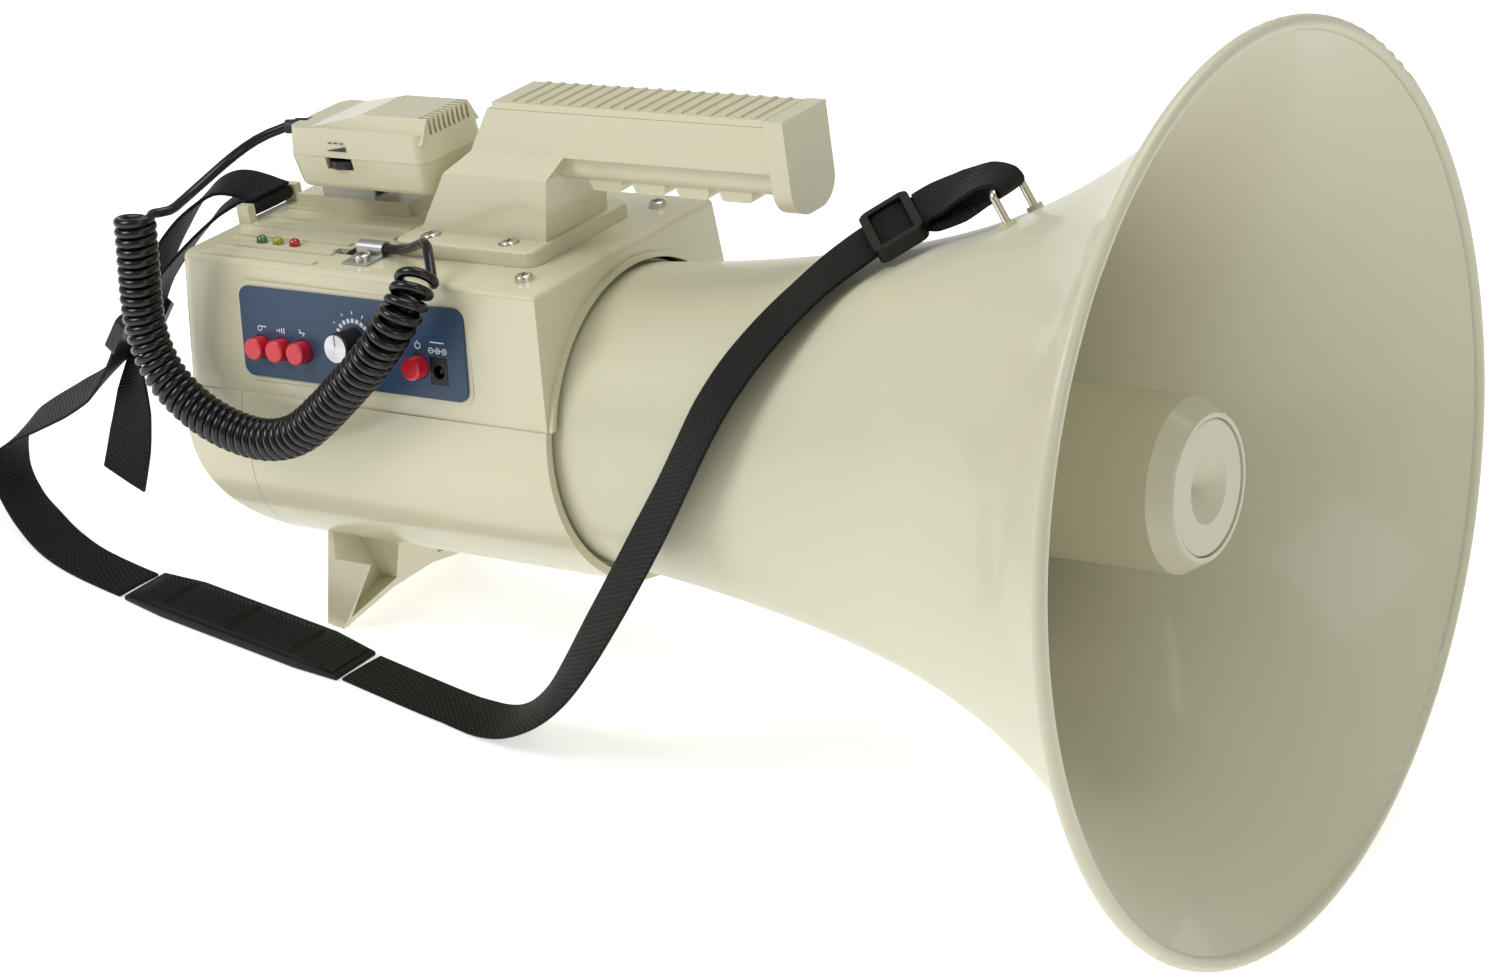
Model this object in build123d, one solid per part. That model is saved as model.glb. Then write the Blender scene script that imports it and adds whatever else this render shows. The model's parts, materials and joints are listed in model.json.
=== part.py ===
from build123d import *
import math
import os

# Large handheld megaphone with a fist microphone on a curly cord and a webbing shoulder strap.
# Every shape is made in the horn's own frame: +X runs along the horn axis towards the mouth,
# +Z is up through the handle, and the origin is the centre of the mouth. finish() then tips the
# megaphone nose up until the rim and the foot both stand on the floor. Millimetres.

# ---- driving dimensions ----
MOUTH_R = 180.0          # outside radius of the rolled rim
BEAD_R = 3.0             # rolled rim section
HORN_WALL = 3.0
THROAT_X = -297.0        # where the bell enters the housing
THROAT_R = 65.0
FRONT_X = -299.0         # front face of the housing
REAR_X = -503.0          # rear face of the housing
TOP_Z = 76.0             # top deck of the housing
SEAM_Z = 18.5            # split between upper and lower housings
BELLY_R = 71.0           # half-round lower housing
TOP_HALF_FRONT = 60.0
TOP_HALF_REAR = 55.0
SHELL = 2.6              # housing wall
REAR_ARC = 48.0          # rounding of the lower rear end
GAP = 0.3                # clearance between separate bodies
HANDLE_HALF = 15.0
HANDLE_TOP = 140.0
HANDLE_LOW = 118.0
NOSE_X = -199.0
DECK_STEP = 83.0         # top of the handle's base flange
MIC_FRONT = -382.5
MIC_REAR = -461.0
MIC_HALF = 21.0
MIC_LOW = 96.6
SEAT_Z = 83.0              # top of the seat under the microphone's hanger
HANGER_X, HANGER_Y = -452.0, 14.5
MIC_SEAM = 112.0
MIC_TOP = 130.0
FOOT_TIP_Z = -104.0
FOOT_HALF = 46.0
FOOT_ARCH = 41.5         # half width of the arch between the foot's two pads
CELL_R = 13.1            # C size cell
WEB_WIDTH = 25.0
WEB_THICK = 1.6
LEAD_R = 2.15
COIL_R = 9.5
STRAP_FLOOR = 1.1        # middle of the webbing above the floor
PAD_FRONT, PAD_REAR = -429.5, -556.5
CORDS = ("mic_lead", "curly_cord", "clamp_lead")

FOOT_X = -460.0
TILT = math.degrees(math.atan((MOUTH_R + FOOT_TIP_Z) / (-BEAD_R - FOOT_X)))
TILT_SIN = math.sin(math.radians(TILT))
TILT_COS = math.cos(math.radians(TILT))

# the side walls lean inwards towards the deck, and a flat pad on the near one carries the panel
WALL_AT_SEAM = 67.8
DECK_ROUND = 2.2         # how far the wall would pass the rounded deck edge
DECK_HALF = (TOP_HALF_FRONT + TOP_HALF_REAR) / 2 + DECK_ROUND
LEAN = math.atan2(WALL_AT_SEAM - DECK_HALF, TOP_Z - SEAM_Z)
PAD = 0.9                # height of the pad above the wall


def box(x0, x1, y0, y1, z0, z1):
    return Pos((x0 + x1) / 2, (y0 + y1) / 2, (z0 + z1) / 2) * Box(x1 - x0, y1 - y0, z1 - z0)


def rod(start, end, radius):
    """Round bar between two points."""
    a, b = Vector(*start), Vector(*end)
    plane = Plane(origin=a, z_dir=(b - a).normalized())
    return extrude(plane * Circle(radius), amount=(b - a).length)


def turned(points):
    """Solid of revolution about the horn axis from (x, r) points."""
    pts = [(x, 0, r) for x, r in points]
    lines = [Line(a, b) for a, b in zip(pts, pts[1:] + pts[:1])]
    return revolve(make_face(Wire(lines)), axis=Axis.X, revolution_arc=360)


def ring(x0, x1, outer, inner):
    return turned([(x0, inner), (x1, inner), (x1, outer), (x0, outer)])


def side_frame(x, height, out=0.0):
    """Plane on the near side's flat pad, z_dir pointing out of the wall."""
    normal = Vector(0, -math.cos(LEAN), math.sin(LEAN))
    half = WALL_AT_SEAM - (height - SEAM_Z) * math.tan(LEAN)
    origin = Vector(x, -half, height) + normal * (PAD + out)
    return Plane(origin=origin, x_dir=(1, 0, 0), z_dir=normal)


# ---- horn ----
HORN_LINE = [(THROAT_X, THROAT_R), (-215, 74.2), (-125, 95.2), (-60, 127.0), (-3, MOUTH_R - BEAD_R)]


LOOP_X = -104.0
LOOP_HALF = 10.0
LOOP_R = 1.6
LOOP_RISE = 13.0
LOOP_LEAN = (-0.45, 0.893)
LOOP_SEAT = 104.0


def loop_point(side, rise):
    return (LOOP_X + LOOP_LEAN[0] * rise, side * LOOP_HALF, LOOP_SEAT + LOOP_LEAN[1] * rise)


def horn_bell():
    outer = Spline(*[(x, 0, r) for x, r in HORN_LINE], tangents=((1, 0, 0.07), (0.62, 0, 0.78)))
    inner = Spline(*[(x, 0, r - HORN_WALL) for x, r in HORN_LINE],
                   tangents=((1, 0, 0.07), (0.62, 0, 0.78)))
    ends = [Line(outer @ 0, inner @ 0), Line(outer @ 1, inner @ 1)]
    bell = revolve(make_face(Wire([outer, inner] + ends)), axis=Axis.X, revolution_arc=360)
    bell += Plane(origin=(-BEAD_R, 0, 0), z_dir=(1, 0, 0)) * Torus(MOUTH_R - BEAD_R, BEAD_R)
    bell += ring(THROAT_X - 11, THROAT_X + 0.5, THROAT_R - 0.2, THROAT_R - HORN_WALL - 0.2)
    bell += ring(THROAT_X - 11, THROAT_X - 7, THROAT_R + 1.0, THROAT_R - HORN_WALL - 0.2)
    for side in (-1, 1):
        bell += rod(loop_point(side, -4), loop_point(side, 0.9), 3.3)
    for side in (-1, 1):
        bell -= rod(loop_point(side, -14), loop_point(side, 6), LOOP_R + 0.25)
    return bell


def wire_loop():
    """Steel wire bail: two legs through the bell and a bar for the webbing."""
    path = FilletPolyline(loop_point(1, -5), loop_point(1, LOOP_RISE),
                          loop_point(-1, LOOP_RISE), loop_point(-1, -5), radius=2.6)
    return sweep(Plane(origin=path @ 0, z_dir=path % 0) * Circle(LOOP_R), path=path)


def loop_nuts():
    nuts = []
    for side in (-1, 1):
        plane = Plane(origin=loop_point(side, -7.6), z_dir=(LOOP_LEAN[0], 0, LOOP_LEAN[1]))
        nuts.append(extrude(plane * (RegularPolygon(3.6, 6) - Circle(LOOP_R + 0.1)), amount=2.6))
    return Compound(nuts)


# ---- folded horn inside the bell ----
CUP_R = 34.5
CUP_FRONT = -33.0
CUP_REAR = -235.0
CUP_WALL = 2.5


def reflector_cup():
    front = [(CUP_REAR, CUP_R - CUP_WALL), (CUP_REAR, CUP_R + 1.0), (CUP_FRONT - 9, CUP_R),
             (CUP_FRONT - 1, 29.6), (CUP_FRONT, 28.8), (CUP_FRONT, 27.0), (CUP_FRONT - 4, 27.0),
             (CUP_FRONT - 12, CUP_R - CUP_WALL)]
    return turned(front)


def reflector_cap():
    """Round plug in the cup's front with a conical dimple."""
    cap = turned([(CUP_FRONT - 6, 0), (CUP_FRONT - 6, 25), (CUP_FRONT - 1.2, 26.8),
                  (CUP_FRONT - 0.6, 26.0), (CUP_FRONT - 0.6, 0)])
    tip = turned([(CUP_FRONT + 0.5, 0), (CUP_FRONT + 0.5, 14.9), (CUP_FRONT - 0.6, 14.2),
                  (CUP_FRONT - 9, 0)])
    boss = turned([(CUP_FRONT - 12, 0), (CUP_FRONT - 12, 6), (CUP_FRONT - 5, 17), (CUP_FRONT - 5, 0)])
    return cap + boss - tip


def inner_tube():
    """First stage of the folded horn, from the driver's throat into the cup."""
    return turned([(THROAT_X - 8, 11), (THROAT_X - 8, 14), (-200, 16), (-62, 21), (-62, 19),
                   (-200, 14)])


def spider():
    """Three vanes and a collar that hold the cup and the tube on the bell's axis."""
    x0, x1 = CUP_REAR + 10, CUP_REAR + 50
    vanes = turned([(x0, 15.65), (-200, 16.15), (x1, 16.7), (x1, 18.6), (x0, 18.6)])
    for turn in range(3):
        blade = box(x0, x1, -1.25, 1.25, 17.5, CUP_R - CUP_WALL - 0.05)
        vanes += Rot(turn * 120, 0, 0) * blade
    return vanes


def cup_struts():
    """Four struts from the bell's inner wall to the cup's open end."""
    struts = []
    for turn in range(4):
        strut = box(CUP_REAR + 4, CUP_REAR + 30, -1.5, 1.5, CUP_R + 1.1, 68.6)
        struts.append(Rot(turn * 90 + 45, 0, 0) * strut)
    return Compound(struts)


# ---- driver ----
def driver_housing():
    x = THROAT_X - 11
    can = turned([(x, 13.9), (x, 58), (x - 4, 58), (x - 10, 46), (x - 20, 44), (x - 20, 40),
                  (x - 9, 38), (x - 6, 26), (x - 6, 13.9)])
    return can


def driver_magnet():
    x = THROAT_X - 31.3
    return turned([(x, 10), (x, 45), (x - 22, 45), (x - 22, 10)])


def driver_diaphragm():
    """Domed diaphragm with its voice coil former."""
    x = THROAT_X - 26
    return turned([(x, 0), (x, 20), (x + 2, 33), (x + 4, 37), (x + 3, 37.4), (x + 1, 33.6),
                   (x - 1, 21), (x - 4.8, 21), (x - 4.8, 20), (x - 1.2, 19.6), (x - 1.2, 0)])


def driver_back_plate():
    x = THROAT_X - 53.3
    return turned([(x, 0), (x, 40), (x - 5, 40), (x - 5, 0)])


# ---- housing ----
def upper_block(inset):
    """Solid block above the seam, narrower at the top and at the rear."""
    def section(x, half):
        low = WALL_AT_SEAM - inset
        slope = (WALL_AT_SEAM - half) / (TOP_Z - SEAM_Z)
        top = TOP_Z - inset
        reach = half - inset + slope * inset
        pts = [(x, -low, SEAM_Z), (x, low, SEAM_Z), (x, reach, top), (x, -reach, top)]
        return make_face(Polyline(*pts, close=True))
    block = loft([section(REAR_X + inset, TOP_HALF_REAR + DECK_ROUND),
                  section(FRONT_X - inset, TOP_HALF_FRONT + DECK_ROUND)], ruled=True)
    corner = max(9 - inset, 3)
    uprights = block.edges().filter_by(lambda e: abs(e.tangent_at(0.5).Z) > 0.8)
    block = fillet(uprights.sort_by(Axis.X)[:2], corner)
    top = block.faces().sort_by(Axis.Z)[-1]
    return fillet(top.edges(), max(3.0 - inset, 0.4))


def lower_block(inset):
    """Half-round belly with a rounded rear end."""
    belly = turned([(REAR_X + inset, 0), (REAR_X + inset, BELLY_R - inset),
                    (FRONT_X - inset, BELLY_R - inset), (FRONT_X - inset, 0)])
    belly &= box(-600, 0, -80, 80, -90, SEAM_Z)
    x0, x1 = REAR_X + inset, FRONT_X - inset
    low = -BELLY_R + inset
    arc = REAR_ARC - inset
    side = [Line((x0, 0, SEAM_Z), (x0, 0, low + arc * 1.25)),
            rear_curve(x0 + arc, low + arc * 1.25, arc, arc * 1.25),
            Line((x0 + arc, 0, low), (x1, 0, low)),
            Line((x1, 0, low), (x1, 0, SEAM_Z)), Line((x1, 0, SEAM_Z), (x0, 0, SEAM_Z))]
    profile = make_face(Wire(side))
    return belly & extrude(profile, amount=100, dir=(0, 1, 0), both=True)


def rear_curve(cx, cz, rx, rz):
    """Quarter of an ellipse from the rear face down to the belly line."""
    middle = (cx - rx * math.sqrt(0.5), 0, cz - rz * math.sqrt(0.5))
    return Spline((cx - rx, 0, cz), middle, (cx, 0, cz - rz), tangents=((0, 0, -1), (1, 0, 0)))


DOOR_X = -468.0


def door_cutter(grow):
    """Everything behind the battery door's seam, which leans back towards the belly."""
    pts = [(-620, SEAM_Z + 5), (DOOR_X + grow, SEAM_Z + 5), (DOOR_X + grow, -10),
           (DOOR_X - 22 + grow, -90), (-620, -90)]
    face = make_face(Polyline(*[(x, 0, z) for x, z in pts], close=True))
    return extrude(face, amount=100, dir=(0, 1, 0), both=True)


PANEL_X0, PANEL_X1 = -463.0, -338.0
PANEL_Z = 46.9
PANEL_HALF = 19.7
BUTTONS = {"whistle_button": -452.0, "siren_button": -440.0, "usb_button": -428.0}
BUTTON_Z = 40.6
BUTTON_R = 4.9
BUTTON_HOLE = 5.3
BUTTON_FLANGE = 5.8
POWER_X, POWER_Z = -363.3, 40.6
KNOB_X, KNOB_Z = -398.5, 47.2
JACK_X, JACK_Z = -352.6, 39.5
LED_XS = {"led_green": -470.6, "led_yellow": -461.2, "led_red": -451.4}
LED_Y = -36.3
CLAMP_X, CLAMP_Y = -405.0, -36.8
CLAMP_SCREW = (CLAMP_X, -45.0)
HANDLE_SCREWS = [(-381.5, -26), (-339, -26), (-381.5, 26), (-339, 26)]
CORNER_SCREWS = [(-316, -46.6), (-316, 46.6)]
RIB_PITCH = 11.8


def upper_housing():
    shell = upper_block(0) - upper_block(SHELL)
    shell += rounded_panel(2.0, SHELL + PAD, -SHELL - PAD)
    shell -= box(-600, -200, -90, 90, 0, SEAM_Z)
    # opening and raised lip round the bell
    shell -= ring(FRONT_X - 6, FRONT_X + 4, THROAT_R + 2.2, 0)
    lip = ring(FRONT_X - SHELL, FRONT_X + 2.2, 69.6, THROAT_R + 2.2)
    shell += lip & box(-320, -290, -90, 90, SEAM_Z, 100)
    # long ribs on the deck
    for i in range(6):
        y = -53.6 + RIB_PITCH * i
        end = -424.5 if i < 3 else -409
        shell += box(-492, end, y - 1.6, y + 1.6, TOP_Z - 0.5, TOP_Z + 1.0)
    # seat under the microphone's hanger, and the rear posts that carry the webbing bar
    shell += box(-486, -421, 6.0, 31.0, TOP_Z - 0.5, SEAT_Z)
    for y in (-15.5, 15.5):
        shell += box(-501.5, -494.5, y - 2.2, y + 2.2, TOP_Z - 1, TOP_Z + 8)
    shell += rod((-498, -15.5, TOP_Z + 5), (-498, 15.5, TOP_Z + 5), 1.8)
    # openings for what comes through the side, the deck and the handle
    shell = pierced(shell) - rounded_panel(0.15, 6, 0)
    for x in LED_XS.values():
        shell -= Pos(x, LED_Y, TOP_Z) * Cylinder(2.6, 10)
    for x, y in CORNER_SCREWS + HANDLE_SCREWS + [CLAMP_SCREW]:
        shell -= Pos(x, y, TOP_Z) * Cylinder(1.75, 12)
    # slot where the clamped lead dives into the housing
    return shell - box(CLAMP_X - 23, CLAMP_X - 7, CLAMP_Y - 3.1, CLAMP_Y + 3.1, TOP_Z - 6, TOP_Z + 0.5)


def slab(low_span, high_span, halves, z0, z1):
    """Block between two heights with its own rear, front and half width at each."""
    def section(z, span, half):
        (x0, x1) = span
        return make_face(Polyline((x0, -half, z), (x1, -half, z), (x1, half, z), (x0, half, z), close=True))
    return loft([section(z0, low_span, halves[0]), section(z1, high_span, halves[1])], ruled=True)


def foot():
    """Hollow stand under the belly: two legs, a low arch between them and a pocket open forwards in each."""
    low_z, high_z = FOOT_TIP_Z - 8, -40.0
    stand = slab((-467.8, -462.0), (-459.7, -418.3), (FOOT_HALF + 1.3, 36.5), low_z, high_z)
    arch = [(-FOOT_ARCH, low_z - 1), (-FOOT_ARCH, FOOT_TIP_Z + 0.3), (-14, FOOT_TIP_Z + 7),
            (14, FOOT_TIP_Z + 7), (FOOT_ARCH, FOOT_TIP_Z + 0.3), (FOOT_ARCH, low_z - 1)]
    stand -= extrude(make_face(Polyline(*[(-490, y, z) for y, z in arch], close=True)), amount=90, dir=(1, 0, 0))
    for side in (-1, 1):
        pocket = [(40 * side, -45), (32.6 * side, -45), (14.6 * side, -91.6), (42.6 * side, -99.6)]
        face = make_face(Polyline(*[(-459, y, z) for y, z in pocket], close=True))
        stand -= extrude(face, amount=50, dir=(1, 0, 0))
    return stand


def lower_shell():
    shell = lower_block(0) - lower_block(SHELL)
    shell -= box(-600, -200, -64.8, 64.8, SEAM_Z - 2.7, SEAM_Z + 5)
    shell -= ring(FRONT_X - 6, FRONT_X + 4, THROAT_R + 2.2, 0)
    return shell


def lower_housing():
    shell = lower_shell() - door_cutter(0)
    stand = (foot() & above_floor()) - lower_block(1.2)
    return shell + stand


def above_floor():
    """Everything above the floor that the rim and the foot stand on."""
    plane = Plane(origin=(-BEAD_R, 0, -MOUTH_R), z_dir=(TILT_SIN, 0, TILT_COS))
    return extrude(plane * Rectangle(1600, 400), amount=400)


def battery_door():
    return lower_shell() & door_cutter(-GAP)


# ---- what the housing holds ----
def battery_holder():
    """Open tray for eight cells in two rows."""
    tray = box(-482, -374, -54, 54, -41, -25) - box(-480, -376, -53.1, 53.1, -39.7, 0)
    return tray + box(-429.2, -426.8, -53.5, 53.5, -40, -30)


def battery_cells():
    cells = []
    for row in (-454.6, -401.4):
        for i in range(4):
            y = (i - 1.5) * 26.6
            start, shoulder, tip = (row - 24.2, y, -26.5), (row + 23.2, y, -26.5), (row + 24.8, y, -26.5)
            cells.append(rod(start, shoulder, CELL_R) + rod(shoulder, tip, 3.2))
    return Compound(cells)


def circuit_board():
    board = box(-480, -385, -56, 56, 9, 10.6)
    for x in (-440, -410):
        board += rod((x, 20, 10.5), (x, 20, 26), 6)
    board += box(-470, -450, 15, 45, 10.5, 26)
    return board


def heat_sink():
    sink = box(-383, -365, 8, 54, 10, 13)
    for i in range(6):
        sink += box(-383, -365, 9 + i * 8, 11 + i * 8, 12.5, 34)
    return sink


def transformer():
    """Laminated core with its two windows."""
    core = box(-383, -357, -40, -4, 10.7, 38)
    return core - box(-384, -356, -33, -27, 16, 32) - box(-384, -356, -17, -11, 16, 32)


# ---- control panel ----
def rounded_panel(grow, thick, sink):
    """Round-cornered slab on the near side wall, larger than the panel by grow all round."""
    plane = side_frame((PANEL_X0 + PANEL_X1) / 2, PANEL_Z, sink)
    outline = RectangleRounded(PANEL_X1 - PANEL_X0 + 2 * grow, 2 * (PANEL_HALF + grow), 5 + grow)
    return extrude(plane * outline, amount=thick)


def pierced(slab_shape):
    """Cut the holes for the buttons, the knob and the power jack."""
    holes = [(x, BUTTON_Z) for x in BUTTONS.values()] + [(POWER_X, POWER_Z)]
    for x, z in holes:
        slab_shape -= extrude(side_frame(x, z, 3) * Circle(BUTTON_HOLE), amount=-9)
    slab_shape -= extrude(side_frame(KNOB_X, KNOB_Z, 3) * Circle(3.4), amount=-9)
    return slab_shape - extrude(side_frame(JACK_X, JACK_Z, 3) * Rectangle(9.4, 11.6), amount=-9)


def control_panel():
    return pierced(rounded_panel(0, 1.2, 0.02))


def push_button(x, z, out):
    plane = side_frame(x, z, -9)
    cap = extrude(plane * Circle(BUTTON_R), amount=9 + out)
    cap = fillet(cap.faces().sort_by(Axis.Y)[0].edges(), 0.9)
    return cap + extrude(plane * Circle(BUTTON_FLANGE), amount=1.6)


def switch_body(x, z):
    """Tactile switch behind a button, with room for the button's travel."""
    return extrude(side_frame(x, z, -20) * Rectangle(10.5, 10.5), amount=8)


def volume_knob():
    knob = extrude(side_frame(KNOB_X, KNOB_Z, 1.9) * Circle(6.6), amount=10.6, taper=1.5)
    return knob - extrude(side_frame(KNOB_X, KNOB_Z, 1) * Circle(3.05), amount=8)


def knob_cap():
    cap = extrude(side_frame(KNOB_X, KNOB_Z, 12.5) * Circle(5.9), amount=0.9)
    return cap - extrude(side_frame(KNOB_X, KNOB_Z + 3.4, 13.0) * Rectangle(0.8, 5), amount=2)


def potentiometer():
    plane = side_frame(KNOB_X, KNOB_Z, -14)
    pot = extrude(plane * Circle(8), amount=9)
    return pot + extrude(side_frame(KNOB_X, KNOB_Z, -6) * Circle(3.0), amount=13)


def dc_jack():
    plane = side_frame(JACK_X, JACK_Z, -12)
    jack = extrude(plane * Rectangle(9.0, 11.2), amount=13.3)
    jack -= extrude(side_frame(JACK_X, JACK_Z - 0.4, 3) * Circle(3.0), amount=-12)
    return jack + extrude(side_frame(JACK_X, JACK_Z - 0.4, -10) * Circle(1.0), amount=9.5)


def led(x):
    lens = Pos(x, LED_Y, TOP_Z - 3) * Cylinder(2.5, 8)
    lens += Pos(x, LED_Y, TOP_Z + 1) * Sphere(2.5)
    return lens + Pos(x, LED_Y, TOP_Z - 6.2) * Cylinder(2.9, 1.2)


def panhead(x, y, z, length):
    """Pan-head cross-recessed screw with its seat at z."""
    head = Pos(x, y, z + 1.25) * Cylinder(3.9, 2.5)
    head = fillet(head.edges().group_by(Axis.Z)[-1], 1.3)
    for turn in (0, 90):
        head -= Pos(x, y, z + 2.3) * Rot(0, 0, turn + 25) * Box(4.4, 1.0, 1.6)
    return head + Pos(x, y, z - length / 2) * Cylinder(1.6, length)


def screw_set(places, z, length):
    return Compound([panhead(x, y, z, length) for x, y in places])


def cable_clamp():
    """Pressed metal saddle over the lead, with one ear for its screw and a toe on the far side."""
    x0, x1 = CLAMP_X - 7, CLAMP_X + 7
    seat, centre = TOP_Z + 0.1, TOP_Z + 3.0
    hump = rod((x0, CLAMP_Y, centre), (x1, CLAMP_Y, centre), 3.5)
    hump += box(x0, x1, CLAMP_Y - 3.5, CLAMP_Y + 3.5, seat, centre)
    hump -= rod((x0 - 1, CLAMP_Y, centre), (x1 + 1, CLAMP_Y, centre), 2.6)
    hump -= box(x0 - 1, x1 + 1, CLAMP_Y - 2.6, CLAMP_Y + 2.6, seat - 1, centre)
    ear = box(x0, x1, -50.5, CLAMP_Y - 2.7, seat, seat + 0.9)
    toe = box(x0, x1, CLAMP_Y + 2.7, CLAMP_Y + 6.2, seat, seat + 0.9)
    return hump + ear + toe - Pos(*CLAMP_SCREW, TOP_Z) * Cylinder(1.9, 12)


# ---- handle ----
def handle_body():
    def tier(z0, z1, low, high):
        def section(z, span):
            x0, x1, half = span
            return make_face(Polyline((x0, -half, z), (x1, -half, z), (x1, half, z), (x0, half, z), close=True))
        return loft([section(z0, low), section(z1, high)], ruled=True)
    flange = box(-396, -320.5, -34.5, 34.5, TOP_Z + GAP / 3, DECK_STEP)
    flange = fillet(flange.edges().filter_by(Axis.Z), 5)
    flange = fillet(flange.faces().sort_by(Axis.Z)[-1].edges(), 1.5)
    body = flange + tier(DECK_STEP - 1, 109, (-391, -323, 21.5), (-374, -319, 20))
    body += tier(109, HANDLE_LOW, (-374, -319, 20), (-361, -312, HANDLE_HALF))
    body += tier(HANDLE_LOW, HANDLE_TOP - 3, (-361, NOSE_X - 6, HANDLE_HALF),
                 (-349, NOSE_X - 3, HANDLE_HALF - 0.6))
    # grip with finger waves along its underside
    grip = box(-320, NOSE_X - 5, -11, 11, 106.5, HANDLE_LOW + 0.5)
    grip = fillet(grip.edges().filter_by(Axis.X).group_by(Axis.Z)[0], 5)
    body += grip
    for x in (-297.0, -275.0, -253.0, -231.5):
        lobe = Pos(x, 0, 107.6) * Rot(90, 0, 0) * Cylinder(8.2, 17)
        body += lobe & box(-330, -200, -9, 9, 102.6, 112)
    # rounded nose that keeps the hand in place
    nose = box(NOSE_X - 9, NOSE_X, -15.6, 15.6, 99, HANDLE_TOP)
    nose = fillet(nose.edges().filter_by(Axis.X).group_by(Axis.Z)[0], 12)
    body += nose
    for x, y in HANDLE_SCREWS:
        body -= Pos(x, y, DECK_STEP) * Cylinder(4.6, 3)
        body -= Pos(x, y, DECK_STEP) * Cylinder(1.75, 20)
    return body


def handle_cover():
    """Ribbed strip let into the top of the handle."""
    x0, x1 = -346.0, NOSE_X - 9.4
    strip = box(x0, x1, -14.2, 14.2, HANDLE_TOP - 2.9, HANDLE_TOP)
    count = 18
    pitch = (x1 - x0 - 8) / count
    for i in range(count):
        x = x0 + 6 + pitch * (i + 0.5)
        strip += box(x - 1.0, x + 1.0, -13.2, 13.2, HANDLE_TOP - 0.2, HANDLE_TOP + 0.9)
    return strip


# ---- fist microphone ----
def mic_outline(grow, z0, z1, draft):
    def section(z, inset):
        face = make_face(Polyline((MIC_REAR - grow + inset, -MIC_HALF - grow + inset, z),
                                  (MIC_FRONT + grow - inset, -MIC_HALF - grow + inset, z),
                                  (MIC_FRONT + grow - inset, MIC_HALF + grow - inset, z),
                                  (MIC_REAR - grow + inset, MIC_HALF + grow - inset, z), close=True))
        return face
    return loft([section(z0, draft[0]), section(z1, draft[1])], ruled=True)


def mic_rear_shell():
    shell = mic_outline(0, MIC_LOW, MIC_SEAM - 0.05, (2.2, 0))
    shell = fillet(shell.edges().filter_by(lambda e: abs(e.tangent_at(0.5).Z) > 0.8), 6)
    shell = fillet(shell.faces().sort_by(Axis.Z)[0].edges(), 4)
    shell -= mic_outline(-2.2, MIC_LOW + 2.2, MIC_SEAM + 1, (2.2, 0))
    shell -= box(-439, -424, -30, -14, 106.6, MIC_SEAM + 1)
    shell -= box(-438, -412, 14, 30, 101, MIC_SEAM + 1)
    return shell


def mic_front_shell():
    """Top half of the case: low at the cord end, stepped up to the slotted grille."""
    shell = mic_outline(0, MIC_SEAM + 0.05, 124, (0, 1.2))
    shell = fillet(shell.edges().filter_by(lambda e: abs(e.tangent_at(0.5).Z) > 0.8), 6)
    def section(x, half_low, half_top, top):
        corners = [(x, -half_low, 120), (x, half_low, 120), (x, half_top, top), (x, -half_top, top)]
        return make_face(Polyline(*corners, close=True))
    rise = loft([section(-448, 19, 18.5, 124.1), section(-418, 19.4, 14, MIC_TOP),
                 section(MIC_FRONT - 1.4, 19.4, 14, MIC_TOP)], ruled=True)
    shell += rise
    hollow = mic_outline(-2.2, MIC_SEAM - 1, 121.5, (0, 1.2))
    shell -= hollow
    shell -= box(-416, MIC_FRONT - 3.6, -13, 13, 121, MIC_TOP - 2.2)
    for i in range(9):
        y = (i - 4) * 3.1
        shell -= box(MIC_FRONT - 6.5, MIC_FRONT + 2, y - 0.75, y + 0.75, 122.6, MIC_TOP + 1)
        shell -= box(-423, -417.5, y - 0.7, y + 0.7, MIC_TOP - 1.4, MIC_TOP + 1)
    shell -= Pos(MIC_REAR, -8, 120.5) * Rot(0, 90, 0) * Cylinder(4.2, 9)
    return shell


def mic_thumbwheel():
    wheel = Pos(-431.5, -14.4, 108.8) * Cylinder(7.6, 3.4)
    return wheel - Pos(-431.5, -14.4, 108.8) * Cylinder(1.55, 8)


def mic_board():
    board = box(-449, -390, -15, 11, 101.5, 103)
    board += rod((-431.5, -14.4, 102.5), (-431.5, -14.4, 112.5), 1.5)
    return board


def mic_capsule():
    return Pos(-399, 0, 113) * Cylinder(9.6, 7)


def talk_button():
    key = box(-437.2, -412.8, 16.5, MIC_HALF + 2.6, 101.8, MIC_SEAM - 0.8)
    return fillet(key.faces().sort_by(Axis.Y)[-1].edges(), 1.2)


def mic_boot():
    """Tapered rubber strain relief at the microphone's cord end."""
    boot = rod((MIC_REAR + 3, -8, 120.5), (MIC_REAR - 3, -8.6, 120.4), 3.7)
    return boot + rod((MIC_REAR - 2.5, -8.55, 120.4), (MIC_REAR - 8, -9.5, 120.3), 3.1)


def mic_stud():
    """Pedestal and button on the back of the case that the hanger grips."""
    x, y = HANGER_X, HANGER_Y
    pedestal = rod((x, y, 90.2), (x, y, MIC_LOW), 5.0)
    neck = rod((x, y, 87.0), (x, y, 90.6), 3.5)
    return pedestal + neck + rod((x, y, 85.6), (x, y, 87.4), 6.0)


def mic_hanger():
    """Folded metal hanger on its seat, slotted and open towards the rear."""
    low, high = SEAT_Z + 0.05, 89.8
    x0, x1, half = -470.0, -440.0, 8.5
    strip = box(x0, x1, HANGER_Y - half, HANGER_Y + half, low, high)
    strip -= box(x0 - 1, x1 + 1, HANGER_Y - half + 1.3, HANGER_Y + half - 1.3, low + 1.2, high - 1.2)
    strip -= box(x0 - 1, HANGER_X, HANGER_Y - 3.9, HANGER_Y + 3.9, high - 2, high + 1)
    return strip - Pos(HANGER_X, HANGER_Y, high) * Cylinder(3.9, 4)


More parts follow.
